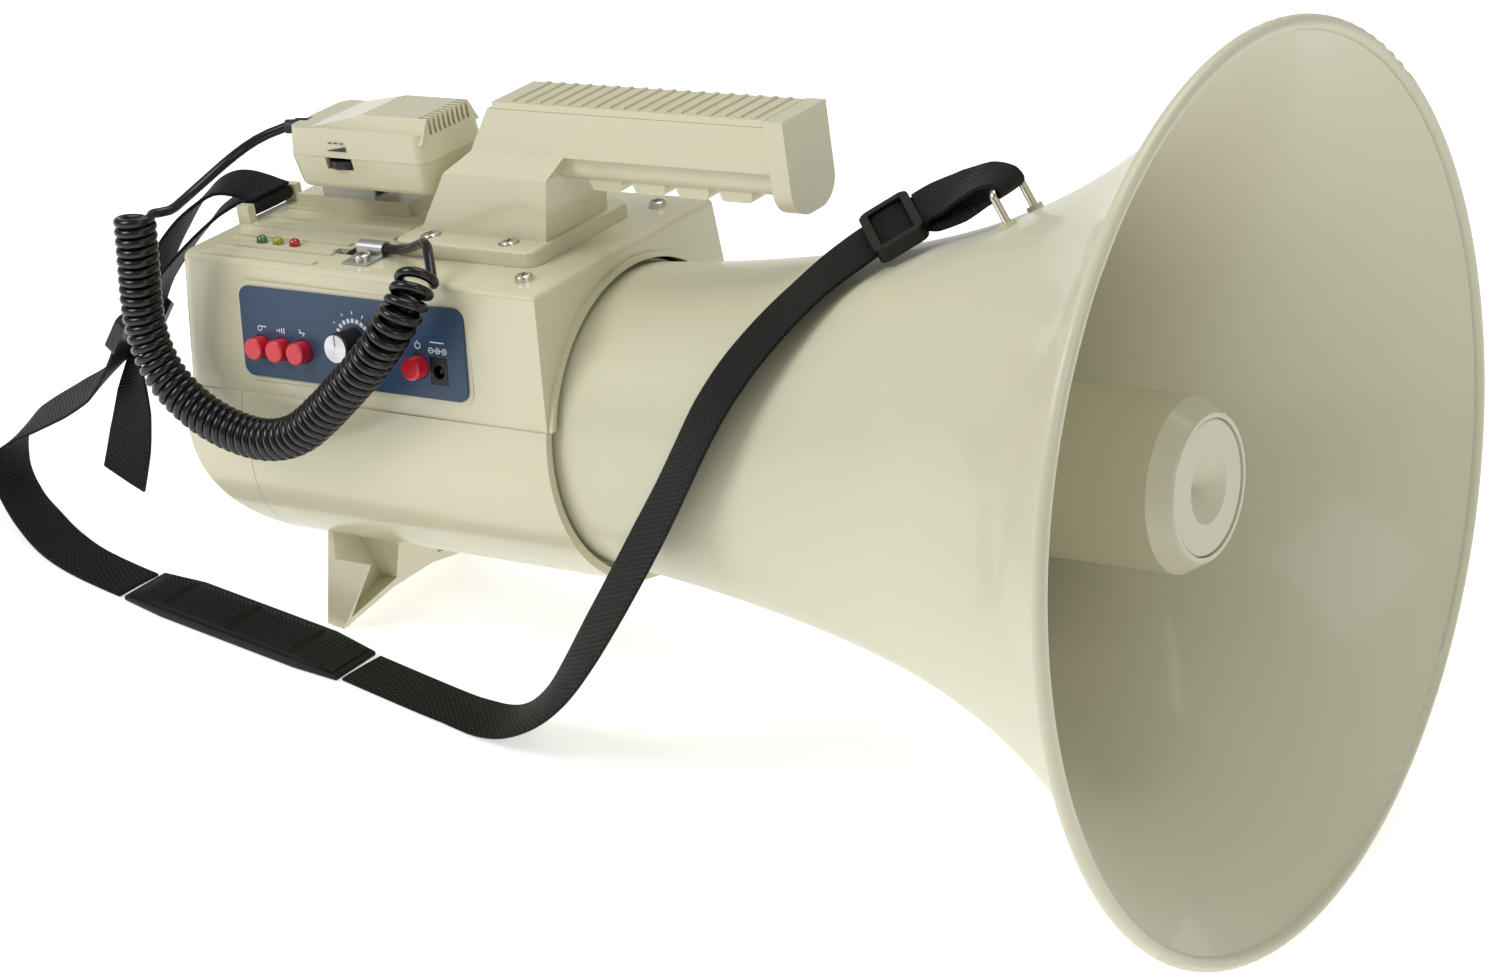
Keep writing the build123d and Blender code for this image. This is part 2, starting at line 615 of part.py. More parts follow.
# ---- cords ----
LEAD_A = [(-469, -9.5, 120.3), (-477.5, -14.5, 118), (-484.5, -22, 114), (-488.5, -32, 109.6), (-490, -43, 105.8),
          (-490, -54, 103), (-488.5, -63, 101.7), (-486, -71.5, 101.2)]
COIL = [(-494, -84.5, 105.5), (-495, -85.5, 93), (-497.5, -86, 76), (-500.5, -86, 59), (-499.5, -86, 42),
        (-493, -86, 27.5), (-479, -86, 15.5), (-462, -86, 8.5), (-442, -86, 5.5), (-422, -86, 10),
        (-405, -86, 22), (-389, -86, 35), (-373, -86, 48.5), (-359.5, -85.5, 62), (-352.5, -81, 73),
        (-351, -73, 81.5), (-352.5, -63.5, 87.5)]
LEAD_B = [(-352.5, -63.5, 87.5), (-354, -57.5, 90.8), (-361, -51, 91), (-371, -44.5, 86.5), (-383, -39.8, 81.2),
          (-396, -37.5, 79.1), (-409, -36.8, 79), (-418, -37, 75.4), (-424.5, -37.3, 70.5)]


def bend_radii(points):
    radii = []
    for a, b, c in zip(points, points[1:], points[2:]):
        u, v = Vector(*b) - Vector(*a), Vector(*c) - Vector(*b)
        half_turn = math.radians(u.get_angle(v)) / 2
        radii.append(0.45 * min(u.length, v.length) / math.tan(half_turn))
    return radii


def cord_tube(name, points, radius):
    radii = bend_radii(points)
    path = FilletPolyline(*points, radius=radii)
    tube = sweep(Plane(origin=path @ 0, z_dir=path % 0) * Circle(radius), path=path)
    expected = math.pi * radius ** 2 * path.length
    print(name, "length", round(path.length, 1), "radii", [round(r, 1) for r in radii],
          "volume ratio", round(tube.volume / expected, 3))
    return tube


# ---- webbing ----
def floor_z(x):
    """Height of the floor in the horn frame."""
    return -MOUTH_R - (x + BEAD_R) * math.tan(math.radians(TILT))


def webbing(rows):
    """Flat band through (point, face normal) rows."""
    centres = [Vector(*p) for p, n in rows]
    faces = []
    for i, (p, n) in enumerate(rows):
        ahead = centres[min(i + 1, len(rows) - 1)] - centres[max(i - 1, 0)]
        along = ahead.normalized()
        across = Vector(*n).cross(along).normalized()
        up = along.cross(across).normalized()
        plane = Plane(origin=centres[i], x_dir=across, z_dir=along)
        faces.append(plane * Rectangle(WEB_WIDTH, WEB_THICK))
    return loft(faces, ruled=True)


def on_floor(x, y, lift=0.0):
    return (x, y, floor_z(x) + STRAP_FLOOR + lift)


FLOOR_UP = (TILT_SIN, 0, TILT_COS)
BAIL_BAR = (-109.85, 0, 115.6)                       # middle of the wire loop's bar
SLIDER_F, SLIDER_F_ALONG = (-161, -3, 96), (-0.70, -0.60, -0.40)
SLIDER_F_UP = (-0.18, -0.394, 0.906)
SLIDER_R, SLIDER_R_ALONG = (-551, -43, 32.4), (0.63, 0, 0.777)
SLIDER_R_UP = (-0.777, 0, 0.63)
LUG_BAR = (-498, 0, TOP_Z + 5)


def shifted(point, direction, amount):
    """Point moved along a direction by an amount."""
    return tuple(p + d * amount for p, d in zip(point, Vector(*direction).normalized()))


FRONT_ROWS = [(shifted(SLIDER_F, SLIDER_F_ALONG, -10.8), SLIDER_F_UP),
              (shifted(SLIDER_F, SLIDER_F_ALONG, 13), SLIDER_F_UP),
              ((-180, -24, 83), (-0.2, -0.5, 0.84)), ((-187, -42, 75), (-0.1, -0.62, 0.78)),
              ((-195, -56, 64.5), (0, -0.75, 0.66)), ((-203, -66, 53), (0, -0.86, 0.5)),
              ((-212, -74, 38), (0, -0.95, 0.3)), ((-222, -78, 20), (0, -1, 0.1)),
              ((-234, -79, 1), (0.05, -1, 0.1)), ((-249, -79, -20), (0.1, -1, 0.1)),
              ((-265, -79, -42), (0.15, -1, 0.15)), ((-283, -79, -66), (0.25, -0.95, 0.25)),
              ((-302, -79, -90), (0.35, -0.8, 0.5)), ((-322, -77, -108), (0.3, -0.5, 0.8)),
              (on_floor(-345, -74, 2.5), (0.1, -0.2, 0.97)), (on_floor(-370, -72), FLOOR_UP),
              (on_floor(-395, -71), FLOOR_UP), (on_floor(-428, -69), FLOOR_UP)]
REAR_ROWS = [(on_floor(-558, -70), FLOOR_UP), (on_floor(-585, -69), FLOOR_UP),
             (on_floor(-612, -64, 1.0), FLOOR_UP), (on_floor(-636, -55, 5), (0.1, 0.25, 0.96)),
             ((-656, -46, -60), (-0.3, 0.4, 0.85)), ((-663, -40, -46), (-0.8, 0.2, 0.55)),
             ((-655, -36, -33), (-0.95, -0.2, -0.1)), ((-636, -35, -24), (-0.5, -0.4, -0.8)),
             ((-612, -37, -13), (0.4, 0.5, 0.8)), ((-590, -39, -2), (0.5, 0.6, 0.6)),
             ((-571, -41.5, 11), (-0.68, -0.15, 0.6)), (shifted(SLIDER_R, SLIDER_R_ALONG, -12), SLIDER_R_UP),
             (shifted(SLIDER_R, SLIDER_R_ALONG, 10.8), SLIDER_R_UP)]
TAIL_ROWS = [((-555.7, -43, 20.6), (-1, 0, 0)), ((-558.5, -43.3, 9), (-0.95, -0.3, 0)),
             ((-563.5, -43.8, -7), (-0.6, -0.8, 0)), ((-572.5, -43.5, -27), (-0.1, -1, 0)),
             ((-582.5, -43, -46.8), (0.05, -1, 0))]
LOOP_LOW = [(shifted(SLIDER_R, SLIDER_R_ALONG, 11.4), SLIDER_R_UP),
            (shifted(SLIDER_R, SLIDER_R_ALONG, 15.4), SLIDER_R_UP), ((-533.5, -38, 55), (-0.75, -0.2, 0.6)),
            ((-524.5, -27, 68), (-0.65, -0.25, 0.7)), ((-518, -14, 77), (-0.5, -0.2, 0.8)),
            ((-514, -5, 81.5), (-0.3, -0.1, 0.95)), ((-510.5, -1.5, 83), (0, 0, 1))]
LOOP_HIGH = [((-542.6, -42.6, 48.6), SLIDER_R_UP), ((-537.5, -36, 61), (-0.85, -0.15, 0.4)),
             ((-529.5, -25, 77), (-0.75, -0.2, 0.6)), ((-520.5, -12, 88.5), (-0.4, -0.2, 0.85)),
             ((-511.5, -3.5, 90), (0.3, 0, 0.95)), ((-504.5, 0, 85), (0.5, 0, 0.85))]


def slider(centre, along, up):
    """Three-bar slide: the webbing runs under its end bars and over the middle one."""
    body = box(-11, 11, -16.2, 16.2, -3.0, 3.2)
    body = fillet(body.edges().filter_by(Axis.Z), 4.0)
    body -= box(-12, 12, -12.9, 12.9, -0.95, 0.95)
    body -= box(-7.4, 7.4, -12.9, 12.9, 0.9, 4)
    for side in (-1, 1):
        body -= box(min(side * 2.2, side * 12), max(side * 2.2, side * 12), -12.9, 12.9, -4, -0.9)
    return Plane(origin=centre, x_dir=along, z_dir=up).location * body


def bar_eye(bar, along, half_width):
    """Webbing turned round a bar that runs across it, its two layers meeting behind."""
    plane = Plane(origin=(bar[0], half_width, bar[2]), x_dir=along, z_dir=(0, -1, 0))
    outside = make_face(Polyline((0, 3.5), (12, 1.75), (12, -1.75), (0, -3.5), close=True)) + Circle(3.5)
    inside = make_face(Polyline((0, 1.85), (10, 0.1), (10, -0.1), (0, -1.85), close=True)) + Circle(1.85)
    return extrude(plane * (outside - inside), amount=2 * half_width)


def strap_front_loop():
    """Doubled webbing from the wire loop, turning until it lies flat in the slider."""
    along = Vector(-0.934, 0, -0.358)
    start = Vector(*BAIL_BAR) + along * 11.5
    middle = (Vector(*BAIL_BAR) + along * 27) + Vector(0, 0.6, 0)
    stop = Vector(*shifted(SLIDER_F, SLIDER_F_ALONG, -12))
    sections = [(start, (0, -1, 0), 7.3, 3.5), (middle, (0.3, -0.95, -0.08), 10.5, 3.4),
                (stop, (0.67, -0.72, -0.18), 12.4, 3.3)]
    directions = [along, stop - start, Vector(*SLIDER_F_ALONG)]
    faces = []
    for (origin, across, half, thick), ahead in zip(sections, directions):
        faces.append(Plane(origin=origin, x_dir=across, z_dir=ahead) * Rectangle(2 * half, thick))
    return bar_eye(BAIL_BAR, along, 7.3) + loft(faces, ruled=True)


def strap_rear_loop():
    """Doubled webbing from the rear slider over the deck's edge to the lug bar, its upper layer bowed up."""
    eye = bar_eye(LUG_BAR, Vector(-0.97, 0, 0.24), 12.4)
    return eye + webbing(LOOP_LOW) + webbing(LOOP_HIGH)


def shoulder_pad():
    """Moulded rubber pad with three cross slots, lying on the floor under the webbing."""
    middle = (PAD_FRONT + PAD_REAR) / 2
    seat = on_floor(middle, -69.5, -STRAP_FLOOR + 0.1)
    plane = Plane(origin=seat, x_dir=(TILT_COS, 0, -TILT_SIN), z_dir=FLOOR_UP)
    outline = RectangleRounded(PAD_FRONT - PAD_REAR, 32, 4)
    for x in (-38, 0, 38):
        outline -= Pos(x, 0) * Rectangle(4.4, 25.6)
    return extrude(plane * outline, amount=6.6)


def build():
    parts = {
        "horn_bell": horn_bell(), "wire_loop": wire_loop(), "loop_nuts": loop_nuts(),
        "reflector_cup": reflector_cup(), "reflector_cap": reflector_cap(), "inner_tube": inner_tube(),
        "spider": spider(), "cup_struts": cup_struts(), "driver_housing": driver_housing(),
        "driver_magnet": driver_magnet(), "driver_diaphragm": driver_diaphragm(),
        "driver_back_plate": driver_back_plate(), "upper_housing": upper_housing(),
        "lower_housing": lower_housing(), "battery_door": battery_door(),
        "battery_holder": battery_holder(), "battery_cells": battery_cells(),
        "circuit_board": circuit_board(), "heat_sink": heat_sink(), "transformer": transformer(),
        "control_panel": control_panel(), "power_button": push_button(POWER_X, POWER_Z, 7.5),
        "volume_knob": volume_knob(), "knob_cap": knob_cap(), "potentiometer": potentiometer(),
        "dc_jack": dc_jack(), "cable_clamp": cable_clamp(),
        "clamp_screw": screw_set([CLAMP_SCREW], TOP_Z + 1.02, 8),
        "housing_screws": screw_set(CORNER_SCREWS, TOP_Z + 0.05, 9),
        "handle_screws": screw_set(HANDLE_SCREWS, DECK_STEP - 1.45, 14),
        "handle_body": handle_body(), "handle_cover": handle_cover(), "mic_rear_shell": mic_rear_shell(),
        "mic_front_shell": mic_front_shell(), "mic_thumbwheel": mic_thumbwheel(), "mic_board": mic_board(),
        "mic_capsule": mic_capsule(), "talk_button": talk_button(), "mic_boot": mic_boot(),
        "mic_stud": mic_stud(), "mic_hanger": mic_hanger(),
        "mic_lead": cord_tube("mic_lead", LEAD_A, LEAD_R), "curly_cord": cord_tube("curly_cord", COIL, COIL_R),
        "clamp_lead": cord_tube("clamp_lead", LEAD_B, LEAD_R),
        "strap_front": webbing(FRONT_ROWS), "strap_rear": webbing(REAR_ROWS), "strap_tail": webbing(TAIL_ROWS),
        "strap_front_loop": strap_front_loop(), "strap_rear_loop": strap_rear_loop(),
        "slider_front": slider(SLIDER_F, SLIDER_F_ALONG, SLIDER_F_UP),
        "slider_rear": slider(SLIDER_R, SLIDER_R_ALONG, SLIDER_R_UP), "shoulder_pad": shoulder_pad(),
    }
    for name, x in BUTTONS.items():
        parts[name] = push_button(x, BUTTON_Z, 7.5)
    for name, x in LED_XS.items():
        parts[name] = led(x)
    parts["switch_bodies"] = Compound([switch_body(x, BUTTON_Z) for x in BUTTONS.values()]
                                      + [switch_body(POWER_X, POWER_Z)])
    return parts


def finish(parts):
    """Tip the megaphone nose up and stand it on z = 0, centred under everything but the cords."""
    os.makedirs("parts", exist_ok=True)
    tipped = {name: Rot(0, -TILT, 0) * shape for name, shape in parts.items()}
    boxes = [shape.bounding_box() for name, shape in tipped.items() if name not in CORDS]
    low = [min(getattr(b.min, axis) for b in boxes) for axis in "XYZ"]
    high = [max(getattr(b.max, axis) for b in boxes) for axis in "XYZ"]
    shift = (-(low[0] + high[0]) / 2, -(low[1] + high[1]) / 2, -low[2])
    print("tilt", round(TILT, 5), "shift", [round(v, 4) for v in shift],
          "size", [round(h - l, 1) for l, h in zip(low, high)])
    for name, shape in tipped.items():
        export_step(Pos(*shift) * shape, "parts/" + name + ".step")


if __name__ == "__main__":
    finish(build())
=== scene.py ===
import bpy
import json
import math
from mathutils import Matrix, Vector


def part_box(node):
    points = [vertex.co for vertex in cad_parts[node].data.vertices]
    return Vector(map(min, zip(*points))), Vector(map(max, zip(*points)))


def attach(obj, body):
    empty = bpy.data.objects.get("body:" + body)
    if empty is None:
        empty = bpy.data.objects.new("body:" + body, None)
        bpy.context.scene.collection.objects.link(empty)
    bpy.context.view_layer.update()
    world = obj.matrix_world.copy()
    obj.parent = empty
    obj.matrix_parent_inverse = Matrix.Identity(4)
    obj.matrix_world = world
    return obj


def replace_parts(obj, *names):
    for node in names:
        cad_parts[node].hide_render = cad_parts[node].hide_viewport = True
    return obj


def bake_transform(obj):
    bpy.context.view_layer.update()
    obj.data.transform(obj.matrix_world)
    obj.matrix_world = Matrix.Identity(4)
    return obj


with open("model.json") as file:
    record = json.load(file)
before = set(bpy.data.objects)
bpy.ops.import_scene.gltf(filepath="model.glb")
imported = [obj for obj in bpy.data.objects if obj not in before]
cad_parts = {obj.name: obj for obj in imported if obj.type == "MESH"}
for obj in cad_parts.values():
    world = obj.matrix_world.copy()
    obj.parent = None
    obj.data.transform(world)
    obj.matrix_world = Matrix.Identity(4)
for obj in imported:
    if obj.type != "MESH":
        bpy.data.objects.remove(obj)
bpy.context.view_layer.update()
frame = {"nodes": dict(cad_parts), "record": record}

# Large handheld megaphone on a pale studio floor. The CAD pieces keep their shape and get their finishes;
# the cord, the webbing, the pad, the knob's grip and the printed marks are made here.
NODES = frame["nodes"]
MOUNTS = {mount["name"]: mount for mount in frame["record"]["mounts"]}

# ---- the horn's own frame: +X along the horn axis, +Z up through the handle, origin in the mouth, in mm ----
MOUTH = Vector(MOUNTS["horn_mouth"]["pos_m"])
AHEAD = Vector(MOUNTS["horn_mouth"]["axis"]).normalized()
ACROSS = Vector((0, 1, 0))
ABOVE = AHEAD.cross(ACROSS)
TURN = Matrix((AHEAD, ACROSS, ABOVE)).transposed()
MM = 0.001


def at(x, y, z):
    """Row-frame place of a point given in the horn's own millimetres."""
    return MOUTH + TURN @ (Vector((x, y, z)) * MM)


def towards(x, y, z):
    return (TURN @ Vector((x, y, z))).normalized()


def frame_matrix(origin, x_axis, z_axis):
    y_axis = z_axis.cross(x_axis).normalized()
    turn = Matrix((x_axis, y_axis, z_axis)).transposed().to_4x4()
    return Matrix.Translation(origin) @ turn


# ---- camera ----
EYE = at(577.2, -1066.9, 524.6)
AIM = at(-246.4, -7.6, -25.0)
LENS = 83.7
SENSOR_WIDTH = 36
ROLL = math.radians(0.2)


def make_camera():
    data = bpy.data.cameras.new("camera")
    data.lens = LENS
    data.sensor_width = SENSOR_WIDTH
    camera = bpy.data.objects.new("camera", data)
    bpy.context.scene.collection.objects.link(camera)
    look = (AIM - EYE).to_track_quat("-Z", "Y").to_matrix()
    camera.matrix_world = Matrix.Translation(EYE) @ (look @ Matrix.Rotation(ROLL, 3, "Z")).to_4x4()
    bpy.context.scene.camera = camera


make_camera()


# ---- shader groups ----
def new_group(name, inputs, outputs):
    group = bpy.data.node_groups.new(name, "ShaderNodeTree")
    for label, kind, value in inputs:
        socket = group.interface.new_socket(label, in_out="INPUT", socket_type=kind)
        if value is not None:
            socket.default_value = value
    for label, kind in outputs:
        group.interface.new_socket(label, in_out="OUTPUT", socket_type=kind)
    return group, group.nodes.new("NodeGroupInput"), group.nodes.new("NodeGroupOutput")


def add_math(tree, operation, first, second=None, third=None):
    node = tree.nodes.new("ShaderNodeMath")
    node.operation = operation
    for socket, value in zip(node.inputs, (first, second, third)):
        if value is None:
            continue
        if isinstance(value, (int, float)):
            socket.default_value = value
        else:
            tree.links.new(value, socket)
    return node.outputs[0]


def moulded_skin():
    """Broad shading drift, fine grain and sparse dust of a moulded surface."""
    group, given, out = new_group("moulded_skin", [("Place", "NodeSocketVector", None),
                                  ("Grain", "NodeSocketFloat", 900.0), ("Drift", "NodeSocketFloat", 9.0)],
                                  [("Drift", "NodeSocketFloat"), ("Grain", "NodeSocketFloat"),
                                   ("Dust", "NodeSocketFloat")])
    values = {}
    for label, scale, detail in (("Drift", "Drift", 3.0), ("Grain", "Grain", 2.0)):
        noise = group.nodes.new("ShaderNodeTexNoise")
        noise.inputs["Detail"].default_value = detail
        group.links.new(given.outputs["Place"], noise.inputs["Vector"])
        group.links.new(given.outputs[scale], noise.inputs["Scale"])
        group.links.new(noise.outputs["Fac"], out.inputs[label])
        values[label] = noise.outputs["Fac"]
    specks = group.nodes.new("ShaderNodeTexVoronoi")
    specks.inputs["Scale"].default_value = 260
    group.links.new(given.outputs["Place"], specks.inputs["Vector"])
    near = add_math(group, "LESS_THAN", specks.outputs["Distance"], 0.1)
    sparse = add_math(group, "GREATER_THAN", values["Drift"], 0.56)
    group.links.new(add_math(group, "MULTIPLY", near, sparse), out.inputs["Dust"])
    return group


def woven_rows():
    """Rows of staggered ribs across a webbing, from its own flat map in metres."""
    group, given, out = new_group("woven_rows", [("Map", "NodeSocketVector", None),
                                  ("Rib", "NodeSocketFloat", 2.5), ("Row", "NodeSocketFloat", 1.25)],
                                  [("Height", "NodeSocketFloat"), ("Thread", "NodeSocketFloat")])
    spread = group.nodes.new("ShaderNodeVectorMath")
    spread.operation = "SCALE"
    spread.inputs["Scale"].default_value = 1000
    group.links.new(given.outputs["Map"], spread.inputs[0])
    split = group.nodes.new("ShaderNodeSeparateXYZ")
    group.links.new(spread.outputs[0], split.inputs[0])
    along = add_math(group, "DIVIDE", split.outputs["X"], given.outputs["Rib"])
    across = add_math(group, "DIVIDE", split.outputs["Y"], given.outputs["Row"])
    odd = add_math(group, "MODULO", add_math(group, "FLOOR", across), 2.0)
    wave = add_math(group, "SINE", add_math(group, "MULTIPLY",
                    add_math(group, "ADD", along, add_math(group, "MULTIPLY", odd, 0.5)), 2 * math.pi))
    ridge = add_math(group, "SINE", add_math(group, "MULTIPLY",
                     add_math(group, "FRACT", across), math.pi))
    lump = add_math(group, "MULTIPLY", add_math(group, "MULTIPLY_ADD", wave, 0.5, 0.5), ridge)
    group.links.new(lump, out.inputs["Height"])
    twist = add_math(group, "SINE", add_math(group, "MULTIPLY",
                     add_math(group, "ADD", split.outputs["X"], split.outputs["Y"]), 9.0))
    group.links.new(add_math(group, "MULTIPLY_ADD", twist, 0.5, 0.5), out.inputs["Thread"])
    return group


SKIN = moulded_skin()
WEAVE = woven_rows()


# ---- materials ----
def start_material(name, color, metallic, roughness):
    material = bpy.data.materials.new(name)
    material.use_nodes = True
    tree = material.node_tree
    shader = tree.nodes["Principled BSDF"]
    shader.inputs["Base Color"].default_value = (*color, 1)
    shader.inputs["Metallic"].default_value = metallic
    shader.inputs["Roughness"].default_value = roughness
    return material, tree, shader


def place_of(tree, output="Object"):
    return tree.nodes.new("ShaderNodeTexCoord").outputs[output]


def mix_color(tree, factor, first, second):
    node = tree.nodes.new("ShaderNodeMix")
    node.data_type = "RGBA"
    tree.links.new(factor, node.inputs["Factor"])
    for socket, value in ((node.inputs["A"], first), (node.inputs["B"], second)):
        if isinstance(value, tuple):
            socket.default_value = (*value, 1)
        else:
            tree.links.new(value, socket)
    return node.outputs["Result"]


def add_bump(tree, shader, height, strength, distance):
    bump = tree.nodes.new("ShaderNodeBump")
    bump.inputs["Strength"].default_value = strength
    bump.inputs["Distance"].default_value = distance
    tree.links.new(height, bump.inputs["Height"])
    tree.links.new(bump.outputs["Normal"], shader.inputs["Normal"])


DUST_COLOR = (0.55, 0.53, 0.48)
GRAIN_DEPTH = 0.00006


def moulded(name, color, roughness, grain=900.0, relief=0.25, coat=0.0, drift=0.05,
            metallic=0.0, dusty=0.0, specular=0.5):
    """Moulded or plated surface: colour drift, roughness drift and a fine relief."""
    material, tree, shader = start_material(name, color, metallic, roughness)
    shader.inputs["Specular IOR Level"].default_value = specular
    skin = tree.nodes.new("ShaderNodeGroup")
    skin.node_tree = SKIN
    skin.inputs["Grain"].default_value = grain
    tree.links.new(place_of(tree), skin.inputs["Place"])
    dark = tuple(c * (1 - drift) for c in color)
    light = tuple(min(c * (1 + drift), 1) for c in color)
    tint = mix_color(tree, skin.outputs["Drift"], dark, light)
    if dusty:
        dust = add_math(tree, "MULTIPLY", skin.outputs["Dust"], dusty)
        tint = mix_color(tree, dust, tint, DUST_COLOR)
    tree.links.new(tint, shader.inputs["Base Color"])
    rough = add_math(tree, "MULTIPLY_ADD", skin.outputs["Drift"], 0.12, roughness - 0.06)
    tree.links.new(rough, shader.inputs["Roughness"])
    add_bump(tree, shader, skin.outputs["Grain"], relief, GRAIN_DEPTH)
    if coat:
        shader.inputs["Coat Weight"].default_value = coat
        shader.inputs["Coat Roughness"].default_value = 0.08
    return material


def webbing_cloth():
    """Black woven webbing: painted shade darkens the valleys against paler rib tops, which are also smoother."""
    material, tree, shader = start_material("black_webbing", (0.008, 0.008, 0.009), 0, 0.55)
    weave = tree.nodes.new("ShaderNodeGroup")
    weave.node_tree = WEAVE
    tree.links.new(place_of(tree, "UV"), weave.inputs["Map"])
    # painted shade: the base colour follows the weave height, darker in the valleys and paler on the rib tops
    painted_valley_shade = add_math(tree, "MULTIPLY", weave.outputs["Height"], add_math(tree, "MULTIPLY_ADD",
                      weave.outputs["Thread"], 0.35, 0.65))
    tree.links.new(mix_color(tree, painted_valley_shade, (0.001, 0.001, 0.001), (0.012, 0.013, 0.013)),
                   shader.inputs["Base Color"])
    rough = add_math(tree, "MULTIPLY_ADD", weave.outputs["Height"], -0.15, 0.62)
    tree.links.new(rough, shader.inputs["Roughness"])
    shader.inputs["Specular IOR Level"].default_value = 0.22
    add_bump(tree, shader, weave.outputs["Height"], 0.9, 0.0007)
    return material


def spun_metal():
    """Spun aluminium: fine rings round the knob's own axis."""
    material, tree, shader = start_material("brushed_cap", (0.62, 0.62, 0.64), 1.0, 0.28)
    centre = tree.nodes.new("ShaderNodeVectorMath")
    centre.operation = "DISTANCE"
    low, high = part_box("knob_cap")
    middle = [(a + b) / 2 for a, b in zip(low, high)]
    tree.links.new(place_of(tree), centre.inputs[0])
    centre.inputs[1].default_value = middle
    rings = add_math(tree, "SINE", add_math(tree, "MULTIPLY", centre.outputs["Value"], 26000))
    rough = add_math(tree, "MULTIPLY_ADD", rings, 0.06, 0.28)
    tree.links.new(rough, shader.inputs["Roughness"])
    add_bump(tree, shader, rings, 0.25, 0.00004)
    return material


def lamp_resin(name, color):
    """Clear coated resin of an indicator lamp, with painted shade for its darker depths."""
    material, tree, shader = start_material(name, color, 0, 0.12)
    skin = tree.nodes.new("ShaderNodeGroup")
    skin.node_tree = SKIN
    skin.inputs["Drift"].default_value = 420
    tree.links.new(place_of(tree), skin.inputs["Place"])
    # painted shade: random patches darken the lamp colour down to 45 percent for the resin's darker depths
    tree.links.new(mix_color(tree, skin.outputs["Drift"], tuple(c * 0.45 for c in color), color),
                   shader.inputs["Base Color"])
    shader.inputs["Coat Weight"].default_value = 1.0
    shader.inputs["Coat Roughness"].default_value = 0.04
    return material


IVORY = (0.620, 0.590, 0.415)
MATERIALS = {
    "bell_plastic": moulded("bell_plastic", (0.600, 0.580, 0.420), 0.42,
                            grain=1500, relief=0.35, coat=0.25),
    "ivory_plastic": moulded("ivory_plastic", IVORY, 0.30,
                            grain=700, relief=0.10, coat=0.45, drift=0.03),
    "black_plastic": moulded("black_plastic", (0.008, 0.008, 0.009), 0.34,
                            grain=1200, relief=0.3, specular=0.35),
    "navy_panel": moulded("navy_panel", (0.024, 0.056, 0.115), 0.42,
                            grain=1800, relief=0.35, dusty=0.25),
    "red_button": moulded("red_button", (0.62, 0.014, 0.030), 0.30,
                            grain=900, relief=0.15, coat=0.3),
    "bright_metal": moulded("bright_metal", (0.66, 0.62, 0.52), 0.22, metallic=1.0, drift=0.12),
    "screw_metal": moulded("screw_metal", (0.70, 0.67, 0.62), 0.20, metallic=1.0, drift=0.15),
    "zinc_clamp": moulded("zinc_clamp", (0.52, 0.52, 0.52), 0.38,
                            metallic=1.0, grain=400, relief=0.4, drift=0.15),
    "cast_metal": moulded("cast_metal", (0.55, 0.55, 0.56), 0.5,
                            metallic=1.0, grain=500, relief=0.5),
    "magnet": moulded("magnet", (0.05, 0.05, 0.055), 0.6, grain=400, relief=0.5),
    "film": moulded("film", (0.42, 0.28, 0.10), 0.3),
    "board_green": moulded("board_green", (0.01, 0.12, 0.05), 0.4),
    "cell_jacket": moulded("cell_jacket", (0.05, 0.06, 0.08), 0.3, metallic=0.4),
    "cord_black": moulded("cord_black", (0.004, 0.004, 0.004), 0.22,
                            grain=1500, relief=0.06, specular=0.45),
    "black_rubber": moulded("black_rubber", (0.015, 0.015, 0.016), 0.5, relief=0.3),
    "pad_rubber": moulded("pad_rubber", (0.006, 0.007, 0.006), 0.55,
                            grain=1400, relief=0.5, specular=0.3),
    "black_webbing": webbing_cloth(), "brushed_cap": spun_metal(),
    "led_green": lamp_resin("led_green", (0.06, 0.24, 0.07)),
    "led_yellow": lamp_resin("led_yellow", (0.50, 0.42, 0.03)),
    "led_red": lamp_resin("led_red", (0.55, 0.012, 0.012)),
    "print_white": moulded("print_white", (0.72, 0.74, 0.76), 0.5, relief=0.1),
    "print_dark": moulded("print_dark", (0.03, 0.03, 0.03), 0.5, relief=0.1),
}


def dress_cad_nodes():
    for entry in frame["record"]["subparts"]:
        node = NODES[entry["node"]]
        material = MATERIALS[entry["material_slot"]]
        if node.data.materials:
            for i in range(len(node.data.materials)):
                node.data.materials[i] = material
        else:
            node.data.materials.append(material)


dress_cad_nodes()


# ---- making pieces ----
def clear_selection():
    if bpy.context.object and bpy.context.object.mode != "OBJECT":
        bpy.ops.object.mode_set(mode="OBJECT")
    bpy.ops.object.select_all(action="DESELECT")


def apply_modifiers(piece):
    bpy.context.view_layer.objects.active = piece
    for modifier in list(piece.modifiers):
        bpy.ops.object.modifier_apply(modifier=modifier.name)


def finish_piece(piece, name, body, slot, material=None, matrix=None):
    """Name a piece, put its place in its mesh, give it its finish and make it ride."""
    piece.name = name
    if matrix is not None:
        piece.matrix_world = matrix @ piece.matrix_world
    piece.data.transform(piece.matrix_world)
    piece.matrix_world = Matrix.Identity(4)
    piece.data.materials.clear()
    piece.data.materials.append(material or MATERIALS[slot])
    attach(piece, body)
    return piece


def join(pieces):
    clear_selection()
    for piece in pieces:
        piece.select_set(True)
    bpy.context.view_layer.objects.active = pieces[0]
    bpy.ops.object.join()
    return bpy.context.object


def route_line(points, fineness):
    """Points along the smooth line that a route's points pull into shape."""
    curve = bpy.data.curves.new("route", "CURVE")
    curve.dimensions = "3D"
    spline = curve.splines.new("NURBS")
    spline.points.add(len(points) - 1)
    for point, place in zip(spline.points, points):
        point.co = (*place, 1)
    spline.order_u = 3
    spline.use_endpoint_u = True
    spline.resolution_u = fineness
    guide = bpy.data.objects.new("route", curve)
    bpy.context.scene.collection.objects.link(guide)
    bpy.context.view_layer.update()
    mesh = bpy.data.meshes.new_from_object(guide)
    line = [vertex.co.copy() for vertex in mesh.vertices]
    bpy.data.objects.remove(guide)
    return line


